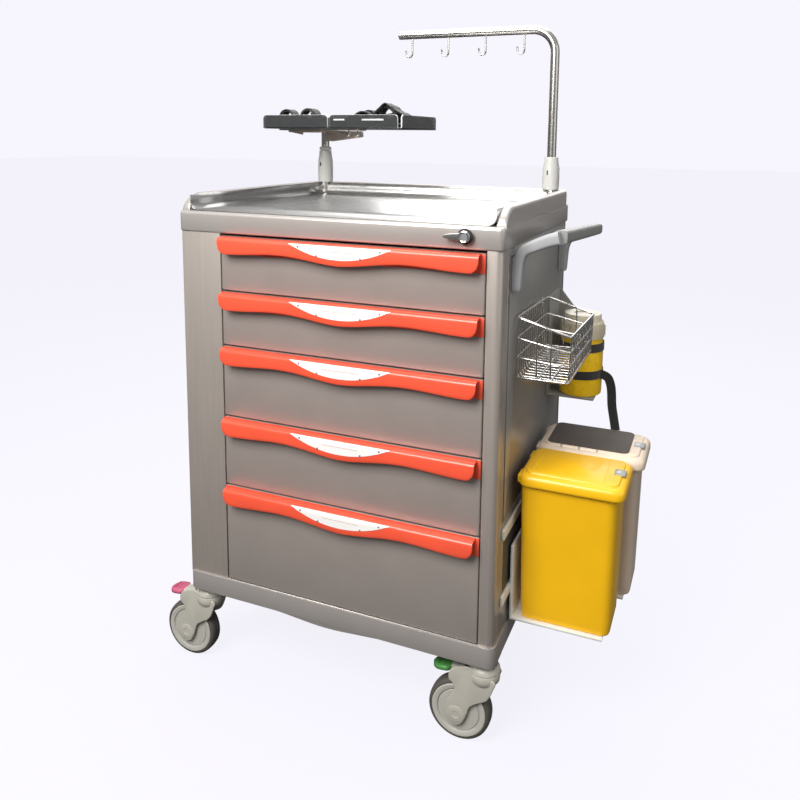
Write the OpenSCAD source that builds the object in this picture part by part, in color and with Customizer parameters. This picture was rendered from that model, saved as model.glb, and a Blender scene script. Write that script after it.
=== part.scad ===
// Hospital emergency trolley: a five-drawer cabinet on four swivel castors.
// It carries a guarded worktop, a drip pole, a pivoting monitor shelf, a push handle, a wire basket,
// a sharps jar and two lidded waste bins. X runs to the right, Y to the back, Z up, in millimetres.

/* [Cabinet] */
// Overall width of the worktop slab
cart_width = 660; // [560:5:820]
// Overall depth of the worktop slab
cart_depth = 545; // [460:5:640]
// Height of the castors under the base
castor_height = 173; // [150:1:200]
// Height of the base skirt
base_height = 39; // [30:1:60]
// Width of the plain column to the left of the drawers
left_column_width = 91; // [50:1:130]
// Width of the narrow column to the right of the drawers
right_column_width = 27; // [20:1:60]

/* [Drawers] */
// Height of each of the two shallow drawers at the top
small_drawer = 109; // [85:1:140]
// Height of each of the two middle drawers
medium_drawer = 144; // [110:1:180]
// Height of the deep drawer at the bottom
large_drawer = 205; // [150:1:260]
// Travel of a drawer from shut to fully open
drawer_travel = 380; // [250:5:420]
// Depth of the pull at the middle of its wavy edge
pull_depth = 38; // [30:1:50]
// Distance the pull stands forward of the drawer front
pull_reach = 24; // [16:1:34]

/* [Worktop] */
// Thickness of the worktop slab
slab_thickness = 40; // [28:1:55]
// Height of the three-sided guard above the slab
guard_height = 32; // [20:1:60]
// Thickness of the guard
guard_thickness = 16; // [10:1:24]

/* [Posts] */
// Radius of the drip pole tube
pole_radius = 10; // [8:0.5:13]
// Height of the drip pole's crossbar above the floor
pole_top = 1356; // [1150:2:1600]
// Reach of the crossbar from the pole towards the middle
pole_reach = 376; // [240:2:440]
// Height of the monitor shelf above the floor
shelf_level = 1132; // [1090:2:1260]
// Width of the monitor shelf
shelf_width = 358; // [260:2:420]
// Depth of the monitor shelf
shelf_depth = 230; // [180:5:300]

/* [Castors] */
// Radius of the wheels
wheel_radius = 60; // [45:1:62]
// Width of the wheels
wheel_width = 32; // [24:1:34]
// Trail of a wheel behind its swivel axis
castor_trail = 45; // [35:1:60]

/* [Side fittings] */
// Length of the wire basket along the cabinet's side
basket_length = 245; // [180:5:300]
// Reach of the wire basket out from the side
basket_reach = 98; // [70:2:130]
// Height of the wire basket
basket_height = 113; // [80:1:140]
// Radius of the sharps jar
jar_radius = 46; // [35:1:60]
// Height of the sharps jar without its lid
jar_height = 125; // [90:1:170]
// Length of the front waste bin out from the side
bin_length = 176; // [140:2:240]
// How much longer the rear waste bin is
rear_bin_extra = 18; // [0:1:40]
// Breadth of a waste bin along the side
bin_breadth = 124; // [90:2:150]
// Height of a waste bin without its lid
bin_height = 263; // [200:1:320]

/* [Hidden] */

$fn = 64;
wire_fn = 20;

// Heights
base_top = castor_height + base_height;
stack_height = 2 * small_drawer + 2 * medium_drawer + large_drawer;
drawer_gap = 3;
body_top = base_top + stack_height + drawer_gap + 2;
slab_top = body_top + slab_thickness;
guard_top = slab_top + guard_height;

// Plan
half_w = cart_width / 2;
body_inset = 3;
body_x = half_w - body_inset;
body_front = 3;
body_rear = cart_depth - 13;
sheet = 1.5;
column_depth = 37;
bay_left = left_column_width - body_x;
bay_right = body_x - right_column_width;
bay_mid = (bay_left + bay_right) / 2;

// Tops of the drawers, from the uppermost down
d1_top = base_top + stack_height;
d2_top = d1_top - small_drawer;
d3_top = d2_top - small_drawer;
d4_top = d3_top - medium_drawer;
d5_top = d4_top - medium_drawer;

// Drawers
front_gap = 2;
front_thick = 18;
wall = 1.6;
runner_wide = 11;
runner_tall = 34;
runner_wall = 2;
run_clear = 0.6;
box_left = bay_left + runner_wide + 2;
box_right = bay_right - runner_wide - 2;
box_front = body_front + front_thick;
box_rear = body_rear - 24;
box_lift = 10;
box_drop = 24;
runner_front = body_front + column_depth + 6;
runner_rear = body_rear - sheet - 2;
runner_from_top = 26;
pull_skin = 3.5;
pull_plate = 2;
pull_end = 7;
pull_steps = 48;
label_wide = 204;
label_drop = 25;
label_thick = 1.2;

// Castors
castor_x = half_w - 25;
castor_front = 35;
castor_rear = cart_depth - 50;
plate_half = 24;
plate_thick = 4;
race_radius = 24;
race_thick = 6;
stem_radius = 6;
fit = 0.05;
crown_radius = 29;
crown_thick = 16;
race_gap = 0.6;
crown_top = castor_height - plate_thick - race_thick - race_gap;
leg_thick = 4;
leg_gap = 2;
leg_in = wheel_width / 2 + leg_gap;
axle_radius = 4;
pedal_pin = 2.5;
pedal_pivot_x = -castor_trail + 4;
pedal_z = crown_top - 22;
pedal_length = 58;
pedal_wide = 24;
tongue_wide = 38;
tongue_from = -castor_trail - 22;
pedal_thick = 7;

// Posts
post_x = half_w - 40;
post_y = cart_depth - 15;
boss_radius = 22;
collar_radius = 19;
pole_collar_height = 73;
shelf_collar_height = 80;
pole_foot = slab_top - 25;
bend_radius = 52;
tube_wall = 1.5;
hook_wire = 2;
hook_drop = 34;
hook_bend = 8;
hook_count = 4;
hook_first = 33;
hook_pitch = 91;
tray_left = -post_x - 80;
tray_front = post_y - 164;
tray_floor = 4;
tray_wall = 4;
tray_wall_height = 28;
arm_thick = 8;

// Lock
lock_x = half_w - 66;
lock_z = body_top + 23;
lock_radius = 10;
lock_reach = 9;
lock_depth = 14;
lever_pin = 3;
lever_gap = 0.6;
lever_thick = 6;
lever_long = 37;

// Push handle
grip_x = body_x + 79;
grip_z = body_top + 20;
grip_radius = 12;
arm_front = 60;
arm_wide = 24;
arm_rear = cart_depth - 82;
grip_drop = 27;

// Side fittings
side_gap = 4.6;
basket_front = 86;
basket_floor = 688;
wire = 1.6;
rim_wire = 2.4;
jar_x = body_x + 18 + jar_radius;
jar_y = cart_depth - 115;
jar_floor = 568;
jar_lid_height = 50;
strap_thick = 1.6;
strap_wide = 18;
bin_floor = 223;
bin_x = body_x + 17;
bin_pitch = bin_breadth + 24;
bin_first = jar_y - 60 - bin_breadth - bin_pitch;
bin_wall = 2.5;
lid_thick = 27;
lid_over = 10;
hinge_radius = 5;

// The origin is on the floor, under the middle of everything
leftmost = -castor_x + pedal_pivot_x - pedal_length;
rightmost = bin_x + bin_length + rear_bin_extra + lid_over + 2;
foremost = body_front - pull_reach;
rearmost = max(tray_front + shelf_depth, post_y + boss_radius);
shift_x = -(leftmost + rightmost) / 2;
shift_y = -(foremost + rearmost) / 2;

module block(x0, x1, y0, y1, z0, z1) {
  translate([x0, y0, z0])
    cube([x1 - x0, y1 - y0, z1 - z0]);
}

module round_rect(x0, x1, y0, y1, r) {
  translate([x0 + r, y0])
    square([x1 - x0 - 2 * r, y1 - y0]);
  translate([x0, y0 + r])
    square([x1 - x0, y1 - y0 - 2 * r]);
  for (x = [x0 + r, x1 - r], y = [y0 + r, y1 - r])
    translate([x, y])
      circle(r);
}

module slab_of(x0, x1, y0, y1, z0, z1, r) {
  translate([0, 0, z0])
    linear_extrude(z1 - z0)
      round_rect(x0, x1, y0, y1, r);
}

// A flat outline in X and Z, given its thickness from y0 to y1
module upright(y0, y1) {
  translate([0, y1, 0])
    rotate([90, 0, 0])
      linear_extrude(y1 - y0)
        children();
}

module bar_x(x0, x1, y, z, r) {
  translate([x0, y, z])
    rotate([0, 90, 0])
      cylinder(h = x1 - x0, r = r, $fn = wire_fn);
}

module bar_y(x, y0, y1, z, r) {
  translate([x, y1, z])
    rotate([90, 0, 0])
      cylinder(h = y1 - y0, r = r, $fn = wire_fn);
}

module bar_z(x, y, z0, z1, r) {
  translate([x, y, z0])
    cylinder(h = z1 - z0, r = r, $fn = wire_fn);
}

// Cabinet

module base_tray() {
  rim = 12;
  floor_thick = 9;
  block_half = 46;
  sag = 8;
  sag_half = 135;
  sag_steps = 27;
  color("silver")
    union() {
      difference() {
        slab_of(-half_w, half_w, 0, cart_depth, castor_height, base_top, 16);
        difference() {
          block(-half_w + rim, half_w - rim, rim, cart_depth - rim,
            castor_height - 1, base_top - floor_thick);
          for (x = [-castor_x, castor_x], y = [castor_front, castor_rear])
            block(x - block_half, x + block_half, y - block_half, y + block_half,
              castor_height - 1, base_top);
        }
      }
      upright(1, rim)
        polygon([
          for (i = [0:sag_steps])
            let (t = i / sag_steps)
            [bay_mid - 40 + (2 * t - 1) * sag_half, castor_height - sag * (1 - cos(360 * t)) / 2 - 0.01],
          [bay_mid - 40 + sag_half, castor_height + 4],
          [bay_mid - 40 - sag_half, castor_height + 4]
        ]);
    }
}

module column(x_out, x_in, corner) {
  side = sign(x_out);
  low = min(x_out, x_in);
  high = max(x_out, x_in);
  translate([0, 0, base_top])
    linear_extrude(body_top - base_top)
      union() {
        difference() {
          union() {
            round_rect(low, high, body_front, body_front + column_depth, corner);
            translate([side > 0 ? low : high - corner, body_front])
              square([corner, column_depth]);
            translate([low, body_front + corner])
              square([high - low, column_depth - corner]);
          }
          intersection() {
            round_rect(low + sheet, high - sheet, body_front + sheet, body_front + 2 * column_depth,
              corner - sheet);
            translate([low, body_front])
              square([high - low, column_depth + 1]);
          }
        }
        translate([side > 0 ? low : high - sheet, body_front + column_depth])
          square([sheet, body_rear - sheet - body_front - column_depth]);
      }
}

module left_column() {
  color("silver")
    column(-body_x, bay_left, 4);
}

module right_column() {
  color("silver")
    column(body_x, bay_right, 12);
}

module side_shell() {
  strip_y = basket_front + 30;
  strip_long = basket_length - 60;
  strip_z = basket_floor + basket_height - 22;
  color("dimgray")
    union() {
      for (x = [-body_x, body_x - sheet])
        block(x, x + sheet, body_front + column_depth, body_rear, base_top, body_top);
      block(body_x, body_x + 4, strip_y, strip_y + strip_long, strip_z, strip_z + 14);
    }
}

module back_panel() {
  color("gray")
    difference() {
      block(-body_x + sheet, body_x - sheet, body_rear - sheet, body_rear, base_top, body_top);
      for (i = [0:5])
        block(-90, 90, body_rear - 3, body_rear + 1, base_top + 60 + 14 * i, base_top + 64 + 14 * i);
    }
}

module guard_side(x) {
  end = guard_height;
  union() {
    block(x, x + guard_thickness, 14 + end, cart_depth - 6, slab_top, guard_top);
    intersection() {
      translate([x, 14 + end, slab_top])
        rotate([0, 90, 0])
          cylinder(h = guard_thickness, r = end);
      block(x, x + guard_thickness, 0, 14 + end, slab_top, guard_top);
    }
  }
}

module worktop() {
  pocket = 8;
  hollow = 44;
  color("silver")
    difference() {
      union() {
        slab_of(-half_w, half_w, 0, cart_depth, body_top, slab_top, 16);
        guard_side(-half_w);
        guard_side(half_w - guard_thickness);
        slab_of(-half_w, half_w, cart_depth - guard_thickness - 6, cart_depth, slab_top, guard_top, 8);
        for (x = [-post_x, post_x])
          translate([x, post_y, body_top])
            cylinder(h = guard_top - body_top, r = boss_radius);
      }
      block(-half_w + 28, half_w - 28, 26, post_y - boss_radius - 6, slab_top - pocket, slab_top + 1);
      block(-half_w + hollow, half_w - hollow, hollow - 14, post_y - boss_radius - 14,
        body_top - 1, slab_top - pocket - 5);
      translate([post_x, post_y, pole_foot - 1])
        cylinder(h = guard_top - pole_foot + 2, r = pole_radius + 0.5);
      translate([-post_x, post_y, pole_foot - 1])
        cylinder(h = guard_top - pole_foot + 2, r = pole_radius + 0.5);
      translate([lock_x, lock_depth, lock_z])
        rotate([90, 0, 0])
          cylinder(h = lock_depth + 1, r = lock_radius);
    }
}

module worktop_liner() {
  pocket = 8;
  thick = 2;
  x = half_w - 28;
  y0 = 26;
  y1 = post_y - boss_radius - 6;
  color("whitesmoke")
    difference() {
      block(-x, x, y0, y1, slab_top - pocket, slab_top + 1);
      block(-x + thick, x - thick, y0 + thick, y1 - thick, slab_top - pocket + thick, slab_top + 2);
    }
}

module runner(x0, open_right, top) {
  z1 = top - runner_from_top;
  z0 = z1 - runner_tall;
  difference() {
    block(x0, x0 + runner_wide, runner_front, runner_rear, z0, z1);
    translate([open_right ? runner_wall : -1, 0, 0])
      block(x0, x0 + runner_wide - runner_wall + 1, runner_front - 1, runner_rear - 3,
        z0 + runner_wall, z1 - runner_wall);
  }
}

module drawer_runners() {
  color("lightgray")
    for (top = [d1_top, d2_top, d3_top, d4_top, d5_top]) {
      runner(bay_left, true, top);
      runner(bay_right - runner_wide, false, top);
    }
}

module castor_mounts() {
  color("gainsboro")
    for (x = [-castor_x, castor_x], y = [castor_front, castor_rear])
      translate([x, y, 0]) {
        block(-plate_half, plate_half, -plate_half, plate_half, castor_height - plate_thick, castor_height);
        translate([0, 0, castor_height - plate_thick - race_thick])
          cylinder(h = race_thick, r = race_radius);
        translate([0, 0, crown_top - crown_thick - 3])
          cylinder(h = crown_thick + 3 + race_gap, r = stem_radius);
        translate([0, 0, crown_top - crown_thick - 4.6])
          cylinder(h = 4, r = stem_radius + 4);
      }
}

// Lock

module lock_body() {
  color("silver")
    translate([lock_x, lock_depth, lock_z])
      rotate([90, 0, 0])
        difference() {
          union() {
            cylinder(h = lock_depth, r = lock_radius);
            translate([0, 0, lock_depth])
              cylinder(h = lock_reach, r = lock_radius + 2);
          }
          translate([0, 0, lock_depth - 8])
            cylinder(h = lock_reach + 9, r = lever_pin + fit);
        }
}

module lock_lever() {
  y1 = -lock_reach - lever_gap;
  y0 = y1 - lever_thick;
  color("silver")
    union() {
      translate([lock_x, y1, lock_z])
        rotate([90, 0, 0])
          cylinder(h = lever_thick, r = lock_radius - 1);
      translate([lock_x, y1 + lock_reach + 6, lock_z])
        rotate([90, 0, 0])
          cylinder(h = lock_reach + 7, r = lever_pin);
      upright(y0 + 1, y1 - 1)
        round_rect(lock_x - lever_long, lock_x, lock_z - 6, lock_z + 6, 5.5);
    }
}

// Push handle

module arm_shape(rise) {
  difference() {
    union() {
      polygon([
        [body_x, rise - 98],
        [body_x + 10, rise - 96],
        [body_x + 15, rise - 80],
        [body_x + 17, rise - 46],
        [body_x + 24, rise - 34],
        [grip_x - 30, rise - 20],
        [grip_x - 2, rise - 12],
        [grip_x - 4, rise + 12],
        [grip_x - 34, rise + 2],
        [body_x + 22, rise - 8],
        [body_x + 10, rise - 17],
        [body_x + 3, rise - 32],
        [body_x, rise - 46]
      ]);
      translate([grip_x, rise])
        circle(grip_radius);
    }
    translate([body_x - 20, rise - 200])
      square([20, 300]);
  }
}

module handle_arms() {
  color("lightgray")
    for (arm = [[arm_front, 0], [arm_rear, grip_drop]])
      upright(arm[0], arm[0] + arm_wide)
        arm_shape(grip_z - arm[1]);
}

module handle_grip() {
  from_y = arm_front + arm_wide;
  slope = atan(grip_drop / (arm_rear - from_y));
  color("slategray")
    intersection() {
      translate([grip_x, from_y, grip_z])
        rotate([-90 - slope, 0, 0])
          translate([0, 0, -grip_radius])
            cylinder(h = arm_rear - from_y + 3 * grip_radius, r = grip_radius);
      block(grip_x - 2 * grip_radius, grip_x + 2 * grip_radius, from_y, arm_rear,
        grip_z - 2 * grip_radius - grip_drop, grip_z + 2 * grip_radius);
    }
}

// Drip pole and monitor shelf

module post_sockets() {
  color("gainsboro")
    for (s = [[post_x, pole_collar_height], [-post_x, shelf_collar_height]])
      translate([s[0], post_y, guard_top])
        difference() {
          union() {
            cylinder(h = s[1] - 18, r = collar_radius);
            cylinder(h = s[1], r = collar_radius - 3);
          }
          translate([0, 0, -1])
            cylinder(h = s[1] + 2, r = pole_radius + fit);
        }
}

module drip_pole() {
  color("silver")
    translate([post_x, post_y, 0])
      union() {
        translate([0, 0, pole_foot])
          difference() {
            cylinder(h = pole_top - bend_radius - pole_foot, r = pole_radius);
            translate([0, 0, -1])
              cylinder(h = pole_top - bend_radius - pole_foot + 2, r = pole_radius - tube_wall);
          }
        translate([-bend_radius, 0, pole_top - bend_radius])
          rotate([90, 0, 0])
            rotate_extrude(angle = 90)
              translate([bend_radius, 0])
                difference() {
                  circle(pole_radius);
                  circle(pole_radius - tube_wall);
                }
        translate([-pole_reach, 0, pole_top])
          rotate([0, 90, 0])
            difference() {
              cylinder(h = pole_reach - bend_radius, r = pole_radius);
              translate([0, 0, -1])
                cylinder(h = pole_reach - bend_radius + 2, r = pole_radius - tube_wall);
            }
      }
}

module drip_hooks() {
  color("silver")
    for (i = [0:hook_count - 1])
      translate([post_x - pole_reach + hook_first + hook_pitch * i, post_y, pole_top - pole_radius])
        union() {
          translate([0, 0, -hook_drop])
            cylinder(h = hook_drop, r = hook_wire, $fn = wire_fn);
          translate([-hook_bend, 0, -hook_drop])
            rotate([-90, 0, 0])
              rotate_extrude(angle = 180, $fn = 40)
                translate([hook_bend, 0])
                  circle(hook_wire, $fn = wire_fn);
          translate([-2 * hook_bend, 0, -hook_drop])
            cylinder(h = 8, r = hook_wire, $fn = wire_fn);
        }
}

module shelf_post() {
  head_half = 46;
  color("silver")
    translate([-post_x, post_y, 0])
      union() {
        translate([0, 0, pole_foot])
          cylinder(h = shelf_level - arm_thick - pole_foot, r = pole_radius);
        translate([0, 0, guard_top + shelf_collar_height + 0.6])
          cylinder(h = 8, r = pole_radius + 5);
        block(-72, 150, -104, -74, shelf_level - arm_thick, shelf_level);
        block(-head_half, head_half, -104, 24, shelf_level - arm_thick, shelf_level);
        for (x = [112, 136])
          translate([x, -90, shelf_level - arm_thick - 9])
            cylinder(h = 9, r = 5);
      }
}

module shelf_tray() {
  x1 = tray_left + shelf_width;
  y1 = tray_front + shelf_depth;
  split = 5;
  corner = 9;
  middle = tray_left + shelf_width / 2;
  color("lightblue", 0.5)
    difference() {
      block(tray_left, x1, tray_front, y1, shelf_level, shelf_level + tray_floor + tray_wall_height);
      block(tray_left + tray_wall, x1 - tray_wall, tray_front + tray_wall, y1 - tray_wall,
        shelf_level + tray_floor, shelf_level + 90);
      block(middle - split, middle, tray_front - 1, y1 + 1, shelf_level + 12, shelf_level + 90);
      for (x = [tray_left - 1, x1 - corner], y = [tray_front - 1, y1 - corner])
        block(x, x + corner + 1, y, y + corner + 1, shelf_level + 12, shelf_level + 90);
    }
}

module strap_loop(x, y, z, radius, turn) {
  translate([x, y, z + radius])
    rotate([90, 0, turn])
      translate([0, 0, -14])
        difference() {
          cylinder(h = 28, r = radius, $fn = 40);
          translate([0, 0, -1])
            cylinder(h = 30, r = radius - 4, $fn = 40);
        }
}

module shelf_straps() {
  z = shelf_level + tray_floor;
  color("black")
    union() {
      strap_loop(tray_left + 44, tray_front + 60, z, 17, 15);
      strap_loop(tray_left + 84, tray_front + 64, z, 16, -10);
      strap_loop(tray_left + 250, tray_front + 90, z, 18, 20);
      strap_loop(tray_left + 290, tray_front + 100, z, 27, -15);
      block(tray_left + 30, tray_left + 120, tray_front + 30, tray_front + 90, z, z + 6);
      block(tray_left + 220, tray_left + 325, tray_front + 50, tray_front + 150, z, z + 8);
    }
}

// Side fittings

module basket() {
  weld = 1.1;
  tuck = 0.9;
  x0 = body_x + side_gap + rim_wire;
  x1 = x0 + basket_reach - rim_wire;
  y0 = basket_front;
  y1 = y0 + basket_length;
  z0 = basket_floor;
  z1 = z0 + basket_height;
  long_count = 11;
  cross_count = 4;
  first = y0 + 3;
  pitch = (y1 - y0 - 6) / long_count;
  color("silver")
    union() {
      for (y = [y0, y1])
        bar_x(x0 - tuck, x1 + tuck, y, z1 - weld, rim_wire);
      for (x = [x0, x1])
        bar_y(x, y0 - tuck, y1 + tuck, z1, rim_wire);
      for (z = [z0, z0 + basket_height / 3, z0 + 2 * basket_height / 3]) {
        for (y = [y0, y1])
          bar_x(x0 - tuck, x1 + tuck, y, z + weld, wire);
        for (x = [x0, x1])
          bar_y(x, y0 - tuck, y1 + tuck, z, wire);
      }
      for (i = [0:long_count]) {
        y = first + pitch * i;
        for (x = [x0 + weld, x1 - weld])
          bar_z(x, y, z0 - 0.6, z1 + 0.5, wire);
        bar_x(x0 - 0.8, x1 + 0.8, y + weld, z0 - tuck, wire);
      }
      for (i = [1:cross_count - 1]) {
        x = x0 + (x1 - x0) * i / cross_count;
        for (y = [y0 + weld, y1 - weld])
          bar_z(x, y, z0 - 0.4, z1 - 0.5, wire);
        bar_y(x + weld, y0 - 0.7, y1 + 0.7, z0 + 0.5, wire);
      }
    }
}

module jar_bracket() {
  y0 = jar_y - jar_radius - 6;
  y1 = jar_y + jar_radius + 6;
  top = jar_floor + 215;
  color("dimgray")
    union() {
      block(body_x, body_x + 3, y0, y1, jar_floor - 5, top);
      block(body_x, jar_x + jar_radius - 10, jar_y - jar_radius + 4, jar_y + jar_radius - 4,
        jar_floor - 5, jar_floor);
      block(body_x, jar_x - jar_radius + 3, jar_y - 12, jar_y + 12, jar_floor + 24, jar_floor + 30);
      upright(y1 - 3, y1)
        polygon([
          [body_x, jar_floor - 5],
          [body_x + 40, jar_floor + 20],
          [body_x + 40, top - 42],
          [body_x + 6, top],
          [body_x, top]
        ]);
    }
}

module jar_body() {
  color("gold")
    translate([jar_x, jar_y, jar_floor])
      difference() {
        cylinder(h = jar_height, r = jar_radius);
        translate([0, 0, 2.5])
          cylinder(h = jar_height, r = jar_radius - 2.5);
        translate([-jar_radius - 10, -13, 23.4])
          cube([13.6, 26, 7.2]);
      }
}

module jar_lid() {
  color("wheat", 0.8)
    translate([jar_x, jar_y, jar_floor + jar_height + 0.5])
      difference() {
        union() {
          cylinder(h = jar_lid_height - 16, r = jar_radius + 1);
          translate([0, 0, jar_lid_height - 16])
            cylinder(h = 16, r = jar_radius - 6);
        }
        translate([0, 0, -1])
          cylinder(h = jar_lid_height - 18, r = jar_radius - 2);
        translate([-8, 0, jar_lid_height - 20])
          cylinder(h = 22, r = 17);
      }
}

module jar_strap() {
  low = jar_floor + 39;
  high = jar_floor + 98;
  tail_x = jar_x + jar_radius;
  color("black")
    union() {
      for (z = [low, high])
        translate([jar_x, jar_y, z])
          difference() {
            cylinder(h = strap_wide, r = jar_radius + strap_thick);
            translate([0, 0, -1])
              cylinder(h = strap_wide + 2, r = jar_radius);
            translate([-jar_radius - 10, -13, -1])
              cube([13, 26, strap_wide + 2]);
          }
      upright(jar_y - strap_thick / 2, jar_y + strap_thick / 2)
        polygon([
          [tail_x + 0.4, low + 17],
          [tail_x + 13, low + 14],
          [tail_x + 24, low + 2],
          [tail_x + 30, low - 20],
          [tail_x + 33, low - 50],
          [tail_x + 38, low - 86],
          [tail_x + 43, low - 116],
          [tail_x + 25, low - 120],
          [tail_x + 20, low - 89],
          [tail_x + 15, low - 52],
          [tail_x + 12, low - 26],
          [tail_x + 8, low - 9],
          [tail_x + 0.4, low + 1]
        ]);
    }
}

module bin_carrier() {
  rail_tall = 20;
  rail_thick = 5;
  y0 = 44;
  y1 = bin_first + bin_pitch + bin_breadth;
  color("whitesmoke")
    union() {
      for (z = [base_top + 58, base_top + 186])
        block(body_x, body_x + rail_thick, y0, y1, z, z + rail_tall);
      for (i = [0, 1]) {
        y = bin_first + bin_pitch * i - 4;
        long = bin_length + rear_bin_extra * i;
        block(body_x + rail_thick, body_x + rail_thick + 5, y, y + 78, bin_floor - 5.4, bin_floor + 142);
        block(body_x + rail_thick, bin_x + long - 16, y, y + 78, bin_floor - 5.4, bin_floor - 0.4);
      }
    }
}

module bin_body(shade, y0, long) {
  taper = 8;
  top = bin_floor + bin_height;
  x1 = bin_x + long;
  y1 = y0 + bin_breadth;
  color(shade)
    difference() {
      intersection() {
        slab_of(bin_x, x1, y0, y1, bin_floor, top, 16);
        upright(y0 - 1, y1 + 1)
          polygon([[bin_x + taper, bin_floor], [x1 - taper, bin_floor], [x1, top], [bin_x, top]]);
      }
      slab_of(bin_x + taper + bin_wall, x1 - taper - bin_wall, y0 + bin_wall, y1 - bin_wall,
        bin_floor + bin_wall, top + 1, 13);
    }
}

module bin_lid(shade, y0, long) {
  base = bin_floor + bin_height + 0.5;
  x0 = bin_x - 3;
  x1 = bin_x + long + lid_over + 2;
  y1 = y0 + bin_breadth;
  color(shade)
    difference() {
      union() {
        slab_of(x0, x1, y0 - lid_over, y1 + lid_over, base + 0.5, base + lid_thick - 7, 14);
        slab_of(x0 + 7, x1 - 7, y0 - lid_over + 7, y1 + lid_over - 7,
          base + lid_thick - 8, base + lid_thick, 10);
        bar_y(x0 + 2, y0 + 8, y1 - 8, base + hinge_radius + 1, hinge_radius);
        block(x1 - 24, x1 - 2, y0 + bin_breadth / 2 - 13, y0 + bin_breadth / 2 + 13,
          base + 18, base + lid_thick + 2);
      }
      slab_of(x0 + 5, x1 - 4, y0 - lid_over + 4, y1 + lid_over - 4, base - 1, base + lid_thick - 12, 10);
    }
}

module bin_front_body() {
  bin_body("gold", bin_first, bin_length);
}

module bin_rear_body() {
  bin_body("wheat", bin_first + bin_pitch, bin_length + rear_bin_extra);
}

module bin_front_lid() {
  bin_lid("gold", bin_first, bin_length);
}

module bin_rear_lid() {
  bin_lid("wheat", bin_first + bin_pitch, bin_length + rear_bin_extra);
}

module bin_rear_insert() {
  base = bin_floor + bin_height + 0.5 + lid_thick;
  y0 = bin_first + bin_pitch;
  color("dimgray")
    slab_of(bin_x + 16, bin_x + bin_length + rear_bin_extra - 20, y0 + 6, y0 + bin_breadth - 4, base, base + 2, 12);
}

// Drawers

module drawer_box(top, tall) {
  z0 = top - tall + box_lift;
  z1 = top - box_drop;
  bar_z1 = top - runner_from_top - runner_wall - run_clear;
  bar_z0 = bar_z1 - runner_tall + 2 * (runner_wall + run_clear);
  bar_in = runner_wide - runner_wall - run_clear + 2;
  color("lightgray")
    union() {
      difference() {
        block(box_left, box_right, box_front, box_rear, z0, z1);
        block(box_left + wall, box_right - wall, box_front + wall, box_rear - wall, z0 + wall, z1 + 1);
      }
      block(box_left - bar_in, box_left, runner_front + 6, box_rear, bar_z0, bar_z1);
      block(box_right, box_right + bar_in, runner_front + 6, box_rear, bar_z0, bar_z1);
    }
}

module drawer_front(top, tall) {
  lip = 9;
  side_lip = 22;
  color("darkgray")
    difference() {
      slab_of(bay_left + front_gap, bay_right - front_gap, body_front, box_front,
        top - tall + drawer_gap, top, 3);
      block(bay_left + side_lip, bay_right - side_lip, body_front + 3, box_front + 1,
        top - tall + drawer_gap + lip, top - lip);
    }
}

function wave(t) = let (middle = 1 - abs(2 * t - 1))
  (pull_depth - 11) + (1 + cos(720 * t)) / 2 * (5 + 6 * middle);

module drawer_pull(top) {
  x0 = bay_left + front_gap;
  x1 = bay_right - front_gap;
  lip_left = x0 + pull_end;
  lip_right = x1 - pull_end;
  lip_long = lip_right - lip_left;
  corner = 16;
  front_y = body_front - pull_reach + label_thick;
  color("tomato")
    union() {
      block(x0, x1, body_front - pull_plate, body_front, top - pull_depth + 4, top);
      block(lip_left, lip_right, front_y, body_front - pull_plate, top - pull_skin, top);
      upright(front_y, front_y + pull_skin)
        polygon(concat(
          [[lip_left, top], [lip_left + 1, top - 12], [lip_left + 5, top - 22]],
          [for (i = [0:pull_steps])
            let (t = i / pull_steps)
              [lip_left + corner + (lip_long - 2 * corner) * t, top - wave(t)]],
          [[lip_right - 5, top - 22], [lip_right - 1, top - 12], [lip_right, top]]));
    }
}

module drawer_label(top) {
  half = label_wide / 2;
  radius = (half * half + label_drop * label_drop) / (2 * label_drop);
  y1 = body_front - pull_reach + label_thick;
  color("white")
    upright(y1 - label_thick, y1)
      intersection() {
        translate([bay_mid, top - label_drop + radius - 1.5])
          circle(radius, $fn = 240);
        translate([bay_mid - half, top - label_drop - 1.5])
          square([label_wide, label_drop]);
      }
}

module drawer_1_box() {
  drawer_box(d1_top, small_drawer);
}

module drawer_1_front() {
  drawer_front(d1_top, small_drawer);
}

module drawer_1_pull() {
  drawer_pull(d1_top);
}

module drawer_1_label() {
  drawer_label(d1_top);
}

module drawer_2_box() {
  drawer_box(d2_top, small_drawer);
}

module drawer_2_front() {
  drawer_front(d2_top, small_drawer);
}

module drawer_2_pull() {
  drawer_pull(d2_top);
}

module drawer_2_label() {
  drawer_label(d2_top);
}

module drawer_3_box() {
  drawer_box(d3_top, medium_drawer);
}

module drawer_3_front() {
  drawer_front(d3_top, medium_drawer);
}

module drawer_3_pull() {
  drawer_pull(d3_top);
}

module drawer_3_label() {
  drawer_label(d3_top);
}

module drawer_4_box() {
  drawer_box(d4_top, medium_drawer);
}

module drawer_4_front() {
  drawer_front(d4_top, medium_drawer);
}

module drawer_4_pull() {
  drawer_pull(d4_top);
}

module drawer_4_label() {
  drawer_label(d4_top);
}

module drawer_5_box() {
  drawer_box(d5_top, large_drawer);
}

module drawer_5_front() {
  drawer_front(d5_top, large_drawer);
}

module drawer_5_pull() {
  drawer_pull(d5_top);
}

module drawer_5_label() {
  drawer_label(d5_top);
}

// Castors, each drawn about its own swivel axis

module at_castor(x, y) {
  translate([x, y, 0])
    children();
}

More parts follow.
